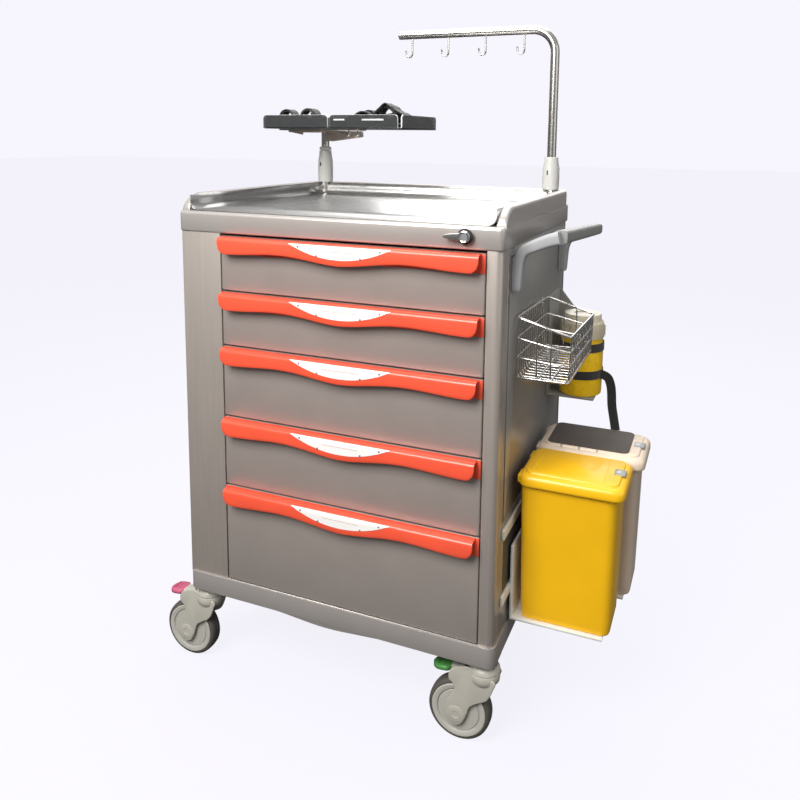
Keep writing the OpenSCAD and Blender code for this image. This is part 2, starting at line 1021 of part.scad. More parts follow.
module fork() {
  under = crown_top - crown_thick;
  color("gainsboro")
    difference() {
      union() {
        translate([0, 0, under])
          cylinder(h = crown_thick, r = crown_radius);
        for (side = [-1, 1])
          upright(side > 0 ? leg_in : -leg_in - leg_thick, side > 0 ? leg_in + leg_thick : -leg_in)
            union() {
              polygon([
                [-22, crown_top - 1],
                [20, crown_top - 1],
                [22, under - 6],
                [-castor_trail + 15, wheel_radius],
                [-castor_trail - 15, wheel_radius],
                [-castor_trail - 18, pedal_z - 14],
                [-castor_trail - 14, pedal_z + 8]
              ]);
              translate([-castor_trail, wheel_radius])
                circle(15);
            }
        translate([-castor_trail, leg_in + leg_thick, wheel_radius])
          rotate([90, 0, 0])
            cylinder(h = 2 * (leg_in + leg_thick), r = axle_radius);
        translate([pedal_pivot_x, leg_in + leg_thick, pedal_z])
          rotate([90, 0, 0])
            cylinder(h = 2 * (leg_in + leg_thick), r = pedal_pin);
      }
      translate([0, 0, under - 6])
        cylinder(h = crown_thick + 8, r = stem_radius + fit);
      translate([0, 0, under - 8])
        cylinder(h = 12, r = stem_radius + 5);
    }
}

module wheel() {
  half = wheel_width / 2;
  color("dimgray")
    translate([-castor_trail, 0, wheel_radius])
      rotate([90, 0, 0])
        rotate_extrude()
          difference() {
            union() {
              translate([axle_radius + fit, -half])
                square([9, wheel_width]);
              translate([axle_radius + 6, -4])
                square([wheel_radius - 20, 8]);
              round_rect(wheel_radius - 18, wheel_radius, -half + 2, half - 2, 7);
            }
            translate([0, -half - 1])
              square([axle_radius + fit, wheel_width + 2]);
          }
}

module pedal(shade) {
  tip = pedal_pivot_x - pedal_length;
  color(shade)
    difference() {
      union() {
        translate([pedal_pivot_x, pedal_wide / 2, pedal_z])
          rotate([90, 0, 0])
            cylinder(h = pedal_wide, r = pedal_pin + 4);
        upright(-pedal_wide / 2, pedal_wide / 2)
          polygon([
            [pedal_pivot_x, pedal_z + 6],
            [tongue_from - 4, pedal_z + 4],
            [tongue_from - 4, pedal_z + 4 - pedal_thick],
            [pedal_pivot_x, pedal_z - 4]
          ]);
        upright(-tongue_wide / 2, tongue_wide / 2)
          polygon([
            [tongue_from, pedal_z + 5],
            [tip + 10, pedal_z + 1],
            [tip, pedal_z - 5],
            [tip, pedal_z - 10],
            [tip + 8, pedal_z - 4 - pedal_thick],
            [tongue_from, pedal_z - 1 - pedal_thick]
          ]);
      }
      translate([pedal_pivot_x, pedal_wide, pedal_z])
        rotate([90, 0, 0])
          cylinder(h = 2 * pedal_wide, r = pedal_pin + fit);
    }
}

module fork_fl() {
  at_castor(-castor_x, castor_front)
    fork();
}

module fork_fr() {
  at_castor(castor_x, castor_front)
    fork();
}

module fork_rl() {
  at_castor(-castor_x, castor_rear)
    fork();
}

module fork_rr() {
  at_castor(castor_x, castor_rear)
    fork();
}

module wheel_fl() {
  at_castor(-castor_x, castor_front)
    wheel();
}

module wheel_fr() {
  at_castor(castor_x, castor_front)
    wheel();
}

module wheel_rl() {
  at_castor(-castor_x, castor_rear)
    wheel();
}

module wheel_rr() {
  at_castor(castor_x, castor_rear)
    wheel();
}

module pedal_fl() {
  at_castor(-castor_x, castor_front)
    pedal("orchid");
}

module pedal_fr() {
  at_castor(castor_x, castor_front)
    pedal("seagreen");
}

translate([shift_x, shift_y, 0]) {
  base_tray();
  left_column();
  right_column();
  side_shell();
  back_panel();
  worktop();
  worktop_liner();
  drawer_runners();
  castor_mounts();
  lock_body();
  lock_lever();
  handle_arms();
  handle_grip();
  post_sockets();
  drip_pole();
  drip_hooks();
  shelf_post();
  shelf_tray();
  shelf_straps();
  basket();
  jar_bracket();
  jar_body();
  jar_lid();
  jar_strap();
  bin_carrier();
  bin_front_body();
  bin_front_lid();
  bin_rear_body();
  bin_rear_lid();
  bin_rear_insert();
  drawer_1_box();
  drawer_1_front();
  drawer_1_pull();
  drawer_1_label();
  drawer_2_box();
  drawer_2_front();
  drawer_2_pull();
  drawer_2_label();
  drawer_3_box();
  drawer_3_front();
  drawer_3_pull();
  drawer_3_label();
  drawer_4_box();
  drawer_4_front();
  drawer_4_pull();
  drawer_4_label();
  drawer_5_box();
  drawer_5_front();
  drawer_5_pull();
  drawer_5_label();
  fork_fl();
  fork_fr();
  fork_rl();
  fork_rr();
  wheel_fl();
  wheel_fr();
  wheel_rl();
  wheel_rr();
  pedal_fl();
  pedal_fr();
}
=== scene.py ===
"""Looks of a hospital emergency trolley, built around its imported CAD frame.

Lengths in the making functions are millimetres in the cabinet's own layout: x from the middle of the
worktop, y from the worktop's front edge, z from the floor. place() turns them into the row frame.
"""

import math

import bmesh
import bpy
from mathutils import Matrix, Vector


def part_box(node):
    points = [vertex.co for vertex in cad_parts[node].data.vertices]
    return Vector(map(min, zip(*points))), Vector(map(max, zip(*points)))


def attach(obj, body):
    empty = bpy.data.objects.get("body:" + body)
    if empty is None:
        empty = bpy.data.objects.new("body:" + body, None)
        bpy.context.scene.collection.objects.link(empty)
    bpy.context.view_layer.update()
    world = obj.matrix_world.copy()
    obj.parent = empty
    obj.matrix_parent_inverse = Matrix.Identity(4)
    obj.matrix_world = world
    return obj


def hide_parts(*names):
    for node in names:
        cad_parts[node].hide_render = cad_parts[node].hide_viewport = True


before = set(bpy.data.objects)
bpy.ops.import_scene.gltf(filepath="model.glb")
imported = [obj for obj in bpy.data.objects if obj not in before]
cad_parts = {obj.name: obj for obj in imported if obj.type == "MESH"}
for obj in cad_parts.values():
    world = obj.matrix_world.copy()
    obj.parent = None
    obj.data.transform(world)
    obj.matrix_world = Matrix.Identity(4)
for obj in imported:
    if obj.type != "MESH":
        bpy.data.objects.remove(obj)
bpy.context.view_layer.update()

MM = 0.001
TOP_LOW, TOP_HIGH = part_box("worktop")
ORIGIN = Vector(((TOP_LOW[0] + TOP_HIGH[0]) / 2, TOP_LOW[1], 0.0))
HALF_W = (TOP_HIGH[0] - TOP_LOW[0]) / 2 / MM
GUARD_TOP = TOP_HIGH[2] / MM
SLAB_LOW = TOP_LOW[2] / MM
SLAB_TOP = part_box("worktop_liner")[1][2] / MM - 1
BASE_LOW, BASE_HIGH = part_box("base_tray")
DEPTH = (BASE_HIGH[1] - BASE_LOW[1]) / MM
BASE_TOP = BASE_HIGH[2] / MM
# an upright direction that no wire of the trolley runs along
LEAN = Vector((0.13, 0.29, 1)).normalized()


def place(p):
    """Layout millimetres to row-frame metres."""
    return Vector((p[0] * MM + ORIGIN.x, p[1] * MM + ORIGIN.y, p[2] * MM))


def layout(node):
    """A CAD node's box in layout millimetres, as (x0, x1, y0, y1, z0, z1)."""
    lo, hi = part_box(node)
    return (
        (lo[0] - ORIGIN.x) / MM, (hi[0] - ORIGIN.x) / MM,
        (lo[1] - ORIGIN.y) / MM, (hi[1] - ORIGIN.y) / MM,
        lo[2] / MM, hi[2] / MM,
    )


# ---------------------------------------------------------------- materials


def fill(node, values):
    """Sets a shader node's inputs: an output socket is joined, anything else is a value."""
    for name, value in values.items():
        if isinstance(value, bpy.types.NodeSocket):
            node.id_data.links.new(value, node.inputs[name])
        else:
            node.inputs[name].default_value = value
    return node


def add(tree, kind, values):
    return fill(tree.nodes.new("ShaderNode" + kind), values)


def material(name, rgb, rough=0.4, metallic=0.0, coat=0.0, sheen=0.0, alpha=1.0, grain=400.0, bump=0.05,
             vary=0.06, stretch=(1, 1, 1), rough_vary=0.08, patch=14.0, weave=None, wear=0.0, glow=None,
             fade=None):
    """A procedural finish: colour drift in large patches, fine grain in bump and roughness."""
    m = bpy.data.materials.new(name)
    m.use_nodes = True
    tree = m.node_tree
    tree.nodes.clear()
    coords = add(tree, "TexCoord", {}).outputs["Object"]
    stretched = add(tree, "Mapping", {"Scale": stretch, 0: coords}).outputs[0]

    def noise(scale, detail):
        return add(tree, "TexNoise", {"Scale": scale, "Detail": detail, "Vector": stretched}).outputs[0]

    def ramp(value, ends):
        node = add(tree, "ValToRGB", {0: value})
        for element, (position, shade) in zip(node.color_ramp.elements, ends):
            element.position = position
            element.color = shade
        return node.outputs[0]

    def shade(factor):
        return [min(1, c * factor) for c in rgb] + [1]

    fine = noise(grain, 3)
    colour = ramp(noise(patch, 4), ((0.3, shade(1 - vary)), (0.7, shade(1 + vary))))
    if wear > 0:
        # scattered scuffs, paler than the rest
        mask = ramp(noise(90, 6), ((0.62, (0, 0, 0, 1)), (0.72, (1, 1, 1, 1))))
        mix = tree.nodes.new("ShaderNodeMix")
        mix.data_type = "RGBA"
        colour = fill(mix, {"A": colour, "B": shade(1 + wear), "Factor": mask}).outputs["Result"]
    if fade:
        # darker towards one end along X, as brushed steel is away from the light
        start, end, least = fade
        axes = add(tree, "SeparateXYZ", {0: coords})
        span = add(tree, "MapRange", {"From Min": start, "From Max": end, "To Min": least,
                                      "Value": axes.outputs["X"]})
        scaled = tree.nodes.new("ShaderNodeVectorMath")
        scaled.operation = "SCALE"
        colour = fill(scaled, {0: colour, "Scale": span.outputs[0]}).outputs[0]
    roughness = add(tree, "MapRange", {"To Min": max(0.02, rough - rough_vary),
                                       "To Max": min(1, rough + rough_vary), "Value": fine})
    height, relief = fine, 0.0006
    if weave:
        scale, directions = weave
        relief = 0.0012
        both = tree.nodes.new("ShaderNodeMath")
        both.operation = "MULTIPLY"
        for i, direction in enumerate(directions):
            wave = tree.nodes.new("ShaderNodeTexWave")
            wave.bands_direction = direction
            fill(wave, {"Scale": scale, "Distortion": 0.2, "Vector": stretched})
            fill(both, {i: wave.outputs["Fac"]})
        height = both.outputs[0]
    normal = add(tree, "Bump", {"Strength": bump, "Distance": relief, "Height": height})
    surface = add(tree, "BsdfPrincipled", {
        "Base Color": colour, "Roughness": roughness.outputs[0], "Normal": normal.outputs[0],
        "Metallic": metallic, "Coat Weight": coat, "Coat Roughness": 0.12, "Sheen Weight": sheen,
        "Alpha": alpha,
    })
    if glow:
        fill(surface, {"Emission Color": (*glow, 1), "Emission Strength": 1.0, "Specular IOR Level": 0.0})
    add(tree, "OutputMaterial", {0: surface.outputs[0]})
    return m


M = {
    "silver": material("silver_plastic", (0.47, 0.44, 0.42), 0.34, 0.45, coat=0.15, grain=900, bump=0.03,
                       vary=0.03),
    "column": material("column_brushed", (0.44, 0.395, 0.36), 0.36, 0.45, stretch=(60, 60, 1.2), patch=6,
                       grain=30, bump=0.05, vary=0.05),
    "front": material("front_satin", (0.39, 0.345, 0.32), 0.4, 0.4, coat=0.1, grain=1100, bump=0.05,
                      vary=0.03),
    # painted shade: the side panels' grey is the silver finish darkened, as for a side in shade
    "side": material("side_grey", (0.36, 0.345, 0.33), 0.34, 0.5, grain=700, bump=0.04, vary=0.04),
    "back": material("back_grey", (0.34, 0.33, 0.32), 0.42, 0.4, grain=700, bump=0.05, vary=0.04),
    "liner": material("liner_steel", (0.6, 0.595, 0.59), 0.27, 0.85, stretch=(1.5, 60, 60), patch=5,
                      grain=25, bump=0.03, vary=0.04, fade=(-0.5, -0.12, 0.3)),
    "steel": material("tube_steel", (0.5, 0.485, 0.46), 0.27, 1.0, stretch=(3, 3, 60), patch=4, grain=40,
                      bump=0.01),
    "arm": material("shelf_arm_metal", (0.52, 0.46, 0.4), 0.34, 0.6, grain=300, bump=0.04, vary=0.06),
    "chrome": material("bright_chrome", (0.7, 0.69, 0.68), 0.16, 0.95, grain=300, bump=0.0, rough_vary=0.03),
    "zinc": material("zinc_plate", (0.5, 0.5, 0.52), 0.38, 0.9, grain=200, bump=0.04, vary=0.1),
    "coral": material("coral_plastic", (0.84, 0.095, 0.045), 0.33, coat=0.25, grain=900, bump=0.04,
                      vary=0.05),
    "label": material("label_white", (0.86, 0.85, 0.83), 0.4, coat=0.1, grain=800, bump=0.02, vary=0.02),
    "line": material("label_line", (0.55, 0.3, 0.28), 0.5, grain=500, bump=0.02),
    "pin": material("pin_head", (0.35, 0.2, 0.24), 0.3, 0.5, grain=500, bump=0.02),
    "castor": material("castor_plastic", (0.47, 0.455, 0.4), 0.42, coat=0.08, grain=700, bump=0.05,
                       vary=0.05),
    "hub": material("hub_plastic", (0.47, 0.46, 0.42), 0.45, grain=600, bump=0.05, vary=0.05),
    "tyre": material("tyre_rubber", (0.085, 0.078, 0.07), 0.62, grain=500, bump=0.12, vary=0.12, wear=0.35),
    "pink": material("pedal_pink", (0.52, 0.11, 0.2), 0.42, grain=600, bump=0.08, vary=0.12),
    "green": material("pedal_green", (0.07, 0.26, 0.06), 0.42, grain=600, bump=0.08, vary=0.12),
    "handle": material("handle_grey", (0.36, 0.365, 0.38), 0.5, grain=700, bump=0.04, vary=0.04),
    "grip": material("grip_rubber", (0.27, 0.27, 0.27), 0.5, grain=900, bump=0.12, vary=0.05),
    "collar": material("collar_plastic", (0.5, 0.5, 0.48), 0.4, grain=700, bump=0.04, vary=0.04),
    # painted shade: near-black for the recessed lower part of the right side
    "painted_hollow_shade": material("painted_hollow_shade_grey", (0.055, 0.055, 0.055), 0.5, grain=500, bump=0.05, vary=0.1),
    # near-black: real dark plastic for the buckles, painted shade for the lock's ring and the slots
    "black": material("dark_plastic_and_painted_shade", (0.02, 0.02, 0.022), 0.5, grain=500, bump=0.05, vary=0.15),
    "strap": material("webbing_black", (0.018, 0.018, 0.02), 0.8, sheen=0.3, weave=(320, "XZ"), bump=0.6,
                      vary=0.2),
    "acrylic": material("smoky_acrylic", (0.05, 0.052, 0.055), 0.08, coat=0.4, alpha=0.8, grain=60, bump=0.01,
                        vary=0.08, rough_vary=0.04),
    "acrylic_edge": material("acrylic_edge", (0.72, 0.75, 0.76), 0.2, coat=0.3, alpha=0.9, grain=60,
                             bump=0.01),
    "yellow": material("bin_yellow", (0.9, 0.5, 0.007), 0.36, coat=0.15, grain=500, bump=0.05, vary=0.03),
    "beige": material("bin_beige", (0.72, 0.6, 0.48), 0.36, coat=0.15, grain=500, bump=0.05, vary=0.04),
    "insert": material("insert_dark", (0.085, 0.07, 0.062), 0.6, weave=(420, "XY"), bump=0.5, vary=0.15),
    "jar": material("jar_yellow", (0.93, 0.58, 0.01), 0.28, coat=0.3, grain=200, bump=0.03, vary=0.1),
    "jarlid": material("jar_lid", (0.66, 0.6, 0.45), 0.35, coat=0.2, alpha=0.88, grain=200, bump=0.04),
    "bracket": material("bracket_grey", (0.3, 0.3, 0.28), 0.45, 0.2, grain=600, bump=0.05),
    "carrier": material("carrier_white", (0.78, 0.78, 0.74), 0.42, 0.1, coat=0.1, grain=600, bump=0.05,
                        vary=0.05),
    "latch": material("latch_grey", (0.25, 0.26, 0.27), 0.35, 0.2, grain=600, bump=0.05),
    "box": material("drawer_grey", (0.42, 0.42, 0.42), 0.5, grain=500, bump=0.06, vary=0.04),
    "floor": material("floor_pale", (0.07, 0.069, 0.074), 0.9, grain=80, bump=0.01, vary=0.01,
                      glow=(0.86, 0.85, 0.915)),
}

# ---------------------------------------------------------------- making meshes


def object_of(name, bm, mat, smooth=True, angle=35):
    bmesh.ops.recalc_face_normals(bm, faces=bm.faces)
    me = bpy.data.meshes.new(name)
    bm.to_mesh(me)
    bm.free()
    ob = bpy.data.objects.new(name, me)
    bpy.context.collection.objects.link(ob)
    me.materials.append(M[mat])
    if smooth:
        for p in me.polygons:
            p.use_smooth = True
        me.set_sharp_from_angle(angle=math.radians(angle))
    return ob


def apply_modifiers(ob):
    dg = bpy.context.evaluated_depsgraph_get()
    old = ob.data
    me = bpy.data.meshes.new_from_object(ob.evaluated_get(dg))
    ob.modifiers.clear()
    ob.data = me
    if old.users == 0:
        bpy.data.meshes.remove(old)


def bevel(ob, width, segments=3, angle=30):
    md = ob.modifiers.new("round", "BEVEL")
    md.width = width * MM
    md.segments = segments
    md.limit_method = "ANGLE"
    md.angle_limit = math.radians(angle)
    apply_modifiers(ob)
    for p in ob.data.polygons:
        p.use_smooth = True
    ob.data.set_sharp_from_angle(angle=math.radians(40))


def soften(node, width, mat, segments=3):
    """A rounded copy of a CAD node, which it replaces."""
    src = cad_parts[node]
    bm = bmesh.new()
    bm.from_mesh(src.data)
    bmesh.ops.transform(bm, matrix=src.matrix_world, verts=bm.verts)
    bmesh.ops.remove_doubles(bm, verts=bm.verts, dist=0.00002)
    bmesh.ops.dissolve_limit(bm, angle_limit=math.radians(1.5), verts=bm.verts, edges=bm.edges)
    ob = object_of(node + "_shell", bm, mat)
    bevel(ob, width, segments)
    return ob


def box_piece(name, x0, x1, y0, y1, z0, z1, mat, r=1.0, segments=3):
    bm = bmesh.new()
    bmesh.ops.create_cube(bm, size=1)
    for v in bm.verts:
        v.co = place((x0 if v.co.x < 0 else x1, y0 if v.co.y < 0 else y1, z0 if v.co.z < 0 else z1))
    ob = object_of(name, bm, mat)
    if r:
        bevel(ob, r, segments)
    return ob


def loft(bm, rings, close_ring=True, caps=True):
    """Joins rings of points (layout millimetres) into a skin."""
    rows = [[bm.verts.new(place(p)) for p in ring] for ring in rings]
    n = len(rows[0])
    for a, b in zip(rows, rows[1:]):
        for i in range(n if close_ring else n - 1):
            j = (i + 1) % n
            bm.faces.new((a[i], a[j], b[j], b[i]))
    if caps:
        bm.faces.new(rows[0][::-1])
        bm.faces.new(rows[-1])
    return rows


def loft_piece(name, rings, mat, angle=35):
    bm = bmesh.new()
    loft(bm, rings)
    return object_of(name, bm, mat, angle=angle)


def lathe(name, profile, centre, axis, mat, steps=64, angle=35, bm=None):
    """Turns a profile [(radius, along)] about an axis through centre. Adds to bm if one is given."""
    own = bm is None
    bm = bm or bmesh.new()
    rings = []
    for r, a in profile:
        ring = []
        for c, s in circle(r, steps):
            off = {"X": (a, c, s), "Y": (s, a, c), "Z": (c, s, a)}[axis]
            ring.append(tuple(centre[k] + off[k] for k in range(3)))
        rings.append(ring)
    loft(bm, rings, caps=profile[0][0] > 0.01 and profile[0] != profile[-1])
    return object_of(name, bm, mat, angle=angle) if own else bm


def smooth_path(points, per=8, closed=False):
    """Catmull-Rom through the points."""
    pts = [Vector(p) for p in points]
    n = len(pts)
    out = []
    for i in range(n if closed else n - 1):
        p0 = pts[(i - 1) % n] if closed or i > 0 else pts[0] * 2 - pts[1]
        p1, p2 = pts[i], pts[(i + 1) % n]
        p3 = pts[(i + 2) % n] if closed or i + 2 < n else pts[-1] * 2 - pts[-2]
        for k in range(per):
            t = k / per
            out.append(0.5 * ((2 * p1) + (p2 - p0) * t + (2 * p0 - 5 * p1 + 4 * p2 - p3) * t * t
                              + (3 * p1 - p0 - 3 * p2 + p3) * t ** 3))
    if not closed:
        out.append(pts[-1])
    return out


def headings(path, closed=False):
    """Each point of a path with the direction of travel there, as vectors."""
    path = [Vector(p).to_3d() for p in path]
    n = len(path)
    out = []
    for i, p in enumerate(path):
        before = path[(i - 1) % n] if closed or i else p
        after = path[(i + 1) % n] if closed or i < n - 1 else p
        out.append((p, (after - before).normalized()))
    return out


def sweep(bm, path, section, closed=False, up=Vector((0, 0, 1)), caps=True):
    """Carries a section [(side, up)] along a path, both in millimetres. section may be a function of 0..1."""
    rings = []
    for i, (p, t) in enumerate(headings(path, closed)):
        side = t.cross(up).normalized()
        top = side.cross(t).normalized()
        sec = section(i / (len(path) - 1)) if callable(section) else section
        rings.append([tuple(p + side * s + top * u) for s, u in sec])
    if closed:
        rings.append(rings[0])
    rows = loft(bm, rings, caps=caps and not closed)
    if closed:
        bmesh.ops.remove_doubles(bm, verts=rows[0] + rows[-1], dist=1e-7)
    return rows


def ribbon(bm, path, width, thick, across=Vector((0, 1, 0))):
    """A strap: a thin band that runs along a path, its width mostly along `across`."""
    h = width / 2
    section = ((-h, -thick / 2), (h, -thick / 2), (h, thick / 2), (0, thick * 0.62), (-h, thick / 2))
    rings = []
    for p, t in headings(path):
        a = (across - t * across.dot(t)).normalized()
        normal = t.cross(a).normalized()
        rings.append([tuple(p + a * s + normal * u) for s, u in section])
    loft(bm, rings)


def arc(cx, cy, r, start, end, n):
    """n + 1 points of a circle, from one angle in degrees to the other."""
    angles = [math.radians(start + (end - start) * k / n) for k in range(n + 1)]
    return [(cx + r * math.cos(a), cy + r * math.sin(a)) for a in angles]


def circle(r, n=12):
    return arc(0, 0, r, 0, 360, n)[:-1]


def soft_rect(w, h, r, n=4):
    """A rectangle's outline, centred, with rounded corners."""
    x, y = w / 2 - r, h / 2 - r
    corners = ((x, y, 0), (-x, y, 90), (-x, -y, 180), (x, -y, 270))
    return [p for cx, cy, a in corners for p in arc(cx, cy, r, a, a + 90, n)]


def rounded_plan(x0, x1, y0, y1, r, n=6):
    return [((x0 + x1) / 2 + u, (y0 + y1) / 2 + v) for u, v in soft_rect(x1 - x0, y1 - y0, r, n)]


def plan_ring(z, *plan):
    """A rounded rectangle at one height, for a loft."""
    return [(x, y, z) for x, y in rounded_plan(*plan)]


def wires(name, paths, r, mat, n=10):
    bm = bmesh.new()
    for p in paths:
        sweep(bm, p, circle(r, n), up=LEAN)
    return object_of(name, bm, mat, angle=60)


def prism(name, outline, axis, near, far, mat, r=1.0, segments=3, angle=25):
    """A flat outline given thickness along an axis. Its points hold the other two axes, in order."""
    along = "XYZ".index(axis)
    bm = bmesh.new()
    a, b = ([bm.verts.new(place((*p[:along], t, *p[along:]))) for p in outline] for t in (near, far))
    n = len(outline)
    bm.faces.new(a)
    bm.faces.new(b[::-1])
    for i in range(n):
        j = (i + 1) % n
        bm.faces.new((a[i], b[i], b[j], a[j]))
    ob = object_of(name, bm, mat)
    if r:
        bevel(ob, r, segments, angle)
    return ob


def upright(name, outline, y0, y1, mat, r, segments):
    return prism(name, [(p[0], p[-1]) for p in outline], "Y", y0, y1, mat, r, segments)


def put(ob, body, slot, *nodes):
    """Rides a body, and stands for CAD nodes if any are given. slot is not used."""
    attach(ob, body)
    if nodes:
        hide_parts(*nodes)


def repaint(node, mat):
    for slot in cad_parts[node].material_slots:
        slot.material = M[mat]


# ---------------------------------------------------------------- cabinet

GUARD = 17


def make_slab():
    corner, shoulder = 9, 6
    steps = [(SLAB_LOW, 3), (SLAB_LOW + 1.2, 0.9), (SLAB_LOW + 3.5, 0)]
    steps += arc(SLAB_TOP - shoulder, shoulder, shoulder, -90, 0, 6) + [(SLAB_TOP, 8)]
    rings = [plan_ring(z, -HALF_W + inset, HALF_W - inset, inset, DEPTH - inset, corner - inset, 8)
             for z, inset in steps]
    put(loft_piece("worktop_slab", rings, "silver", angle=50), "cabinet", "silver_plastic", "worktop")


def make_guard():
    """One wall swept round three sides, falling away at its front ends."""
    height, outer_round, inner_round = GUARD_TOP - SLAB_TOP, 7, 5
    half = GUARD / 2
    front, reach = 12, 52
    side_x, back, corner = HALF_W - half, DEPTH - half - 1, 22
    rising = [front + reach * (1 - math.cos(math.radians(90 * k / 14))) for k in range(15)] + [200]
    path = [(-side_x, y) for y in rising]
    path += arc(corner - side_x, back - corner, corner, 180, 90, 10) + [(0, back)]
    path += arc(side_x - corner, back - corner, corner, 90, 0, 10)
    path += [(side_x, y) for y in rising[::-1]]
    rings = []
    for p, t in headings(path):
        done = min(1.0, (p.y - front) / reach)
        h = height * math.sqrt(max(0.0, 1 - (1 - done) ** 2)) + 0.4
        r = min(outer_round, h * 0.9)
        section = [(half, -3), (half, h - r)] + arc(half - r, h - r, r, 15, 90, 5)
        section += [(s, u if h > inner_round else h * 0.9)
                    for s, u in arc(inner_round - half, h - inner_round, inner_round, 90, 180, 5)]
        section += [(-half - 1, -3)]
        rings.append([(p.x - t.y * s, p.y + t.x * s, SLAB_TOP + u) for s, u in section])
    put(loft_piece("worktop_guard", rings, "silver", angle=50), "cabinet", "silver_plastic")


def make_liner():
    """Steel tray: a floor with a wide fillet up the guard's inner faces."""
    x_in, y_in, y_front = HALF_W - GUARD - 1.2, DEPTH - GUARD - 2.2, 14
    fillet, corner = 16, 30
    section = arc(fillet, fillet, fillet, 270, 180, 6) + [(0, GUARD_TOP - SLAB_TOP - 3)]
    sides = [y_front + (y_in - corner - y_front) * k / 4 for k in range(5)]
    line = [(-x_in, y) for y in sides] + arc(corner - x_in, y_in - corner, corner, 165, 90, 5)
    line += [(corner - x_in + 2 * (x_in - corner) * k / 6, y_in) for k in range(1, 6)]
    line += arc(x_in - corner, y_in - corner, corner, 90, 0, 6) + [(x_in, y) for y in sides[-2::-1]]
    bm = bmesh.new()
    sheet_low = SLAB_TOP + 1.2
    rings = [[(p.x + t.y * s, p.y - t.x * s, sheet_low + u) for s, u in section] for p, t in headings(line)]
    rows = loft(bm, rings, close_ring=False, caps=False)
    bm.faces.new([r[0] for r in rows])
    tray = object_of("worktop_tray_skin", bm, "liner", angle=60)
    md = tray.modifiers.new("sheet", "SOLIDIFY")
    md.thickness = 0.8 * MM
    md.offset = 0
    apply_modifiers(tray)
    put(tray, "cabinet", "liner_white", "worktop_liner")


def make_swells():
    """A long swept swelling pressed into each outer face of the slab, above the handle."""
    start, length, height = 62, 408, 2.6
    spine = ((start, 6), (100, 24), (170, 40), (260, 44), (350, 34), (440, 12), (start + length, 4))
    spine = smooth_path([(y, SLAB_LOW + up) for y, up in spine], 6)
    # how far out each line of the skin stands, how much of the swelling it takes, and its height
    section = ((-1.2, 0, 7), (-0.9, 0.35, 3), (-0.9, 0.6, 0), (-0.9, 0.2, -5), (-1.2, 0, -9))
    for side, name in ((1, "right"), (-1, "left")):
        rows = []
        for y, z in spine:
            lift = height * math.sin(math.pi * (y - start) / length)
            rows.append([(side * (HALF_W + out + lift * share), y, z + up) for out, share, up in section])
        put(loft_piece("slab_swell_" + name, rows, "silver", angle=80), "cabinet", "silver_plastic")


def make_base():
    put(soften("base_tray", 3.5, "silver"), "cabinet", "silver_plastic", "base_tray")
    # thin bright bead where the cabinet stands on the skirt
    left, right, back = 5 - HALF_W, HALF_W - 5, DEPTH - 8
    corners = [(left, 4), (right - 9, 4), (right, 12), (right, back), (left, back), (left, 4)]
    bead = wires("skirt_bead", [[(x, y, BASE_TOP) for x, y in corners]], 1.3, "silver", 8)
    put(bead, "cabinet", "silver_plastic")


def make_columns():
    for node in ("left_column", "right_column"):
        put(soften(node, 1.6, "column"), "cabinet", "column_silver", node)
    # side panels in the darker grey finish, which is painted shade
    put(soften("side_shell", 0.6, "side", 2), "cabinet", "side_grey", "side_shell")
    put(soften("back_panel", 0.5, "back", 2), "cabinet", "side_grey", "back_panel")
    face, front = layout("right_column")[1:3]
    # three vent slots beside the right column, each a near-black box: painted shade for the dark inside of
    # the slot
    for i in range(3):
        z = SLAB_LOW - 34 - 28 * i
        vent = box_piece("side_slot_%d" % i, face - 0.6, face + 0.35, front + 44, front + 50, z - 8, z + 8,
                         "black", 0.2, 2)
        put(vent, "cabinet", "side_grey")
    # painted shade: a near-black sheet stands for the shade in the recessed lower part of the right side,
    # behind the bin rails
    panel = box_piece("side_painted_hollow_shade", face - 0.4, face + 0.5, 58, 392, BASE_TOP + 50, BASE_TOP + 200,
                      "painted_hollow_shade", 0.3, 2)
    put(panel, "cabinet", "side_grey")
    # pressed frame round the upper part of each side
    above_bins = layout("bin_carrier")[5] + 14
    for x, low, name in ((face + 0.9, above_bins, "right"), (-face - 0.9, BASE_TOP + 20, "left")):
        near, far, high = front + 46, DEPTH - 26, SLAB_LOW - 12
        loop = [(x, near, low), (x, far, low), (x, far, high), (x, near, high), (x, near, low)]
        put(wires("side_press_" + name, [loop], 1.1, "side", 8), "cabinet", "side_grey")


def make_back_details():
    """Press lines and screws of the back panel."""
    x0, x1, _, y, z0, z1 = layout("back_panel")
    inset = 24
    left, right, low, high = x0 + inset, x1 - inset, z0 + inset, z1 - inset
    loop = [(left, y, low), (right, y, low), (right, y, high), (left, y, high), (left, y, low)]
    put(wires("back_press", [loop], 1.4, "back", 8), "cabinet", "side_grey")
    bm = bmesh.new()
    for x in (x0 + 10, 0, x1 - 10):
        for z in (z0 + 12, (z0 + z1) / 2, z1 - 12):
            lathe("", [(4, 0), (4, 1.2), (2.6, 2.2), (0.02, 2.3)], (x, y, z), "Y", "zinc", 20, bm=bm)
    put(object_of("back_screws", bm, "zinc"), "cabinet", "zinc_steel")


# ---------------------------------------------------------------- drawers


def lip_depth(t):
    """How far a pull's lip hangs, from one end (0) to the other (1): three waves, the middle one deepest."""
    middle = 1 - abs(2 * t - 1)
    return 26.5 + (1 + math.cos(4 * math.pi * t)) / 2 * (5 + 6.5 * middle)


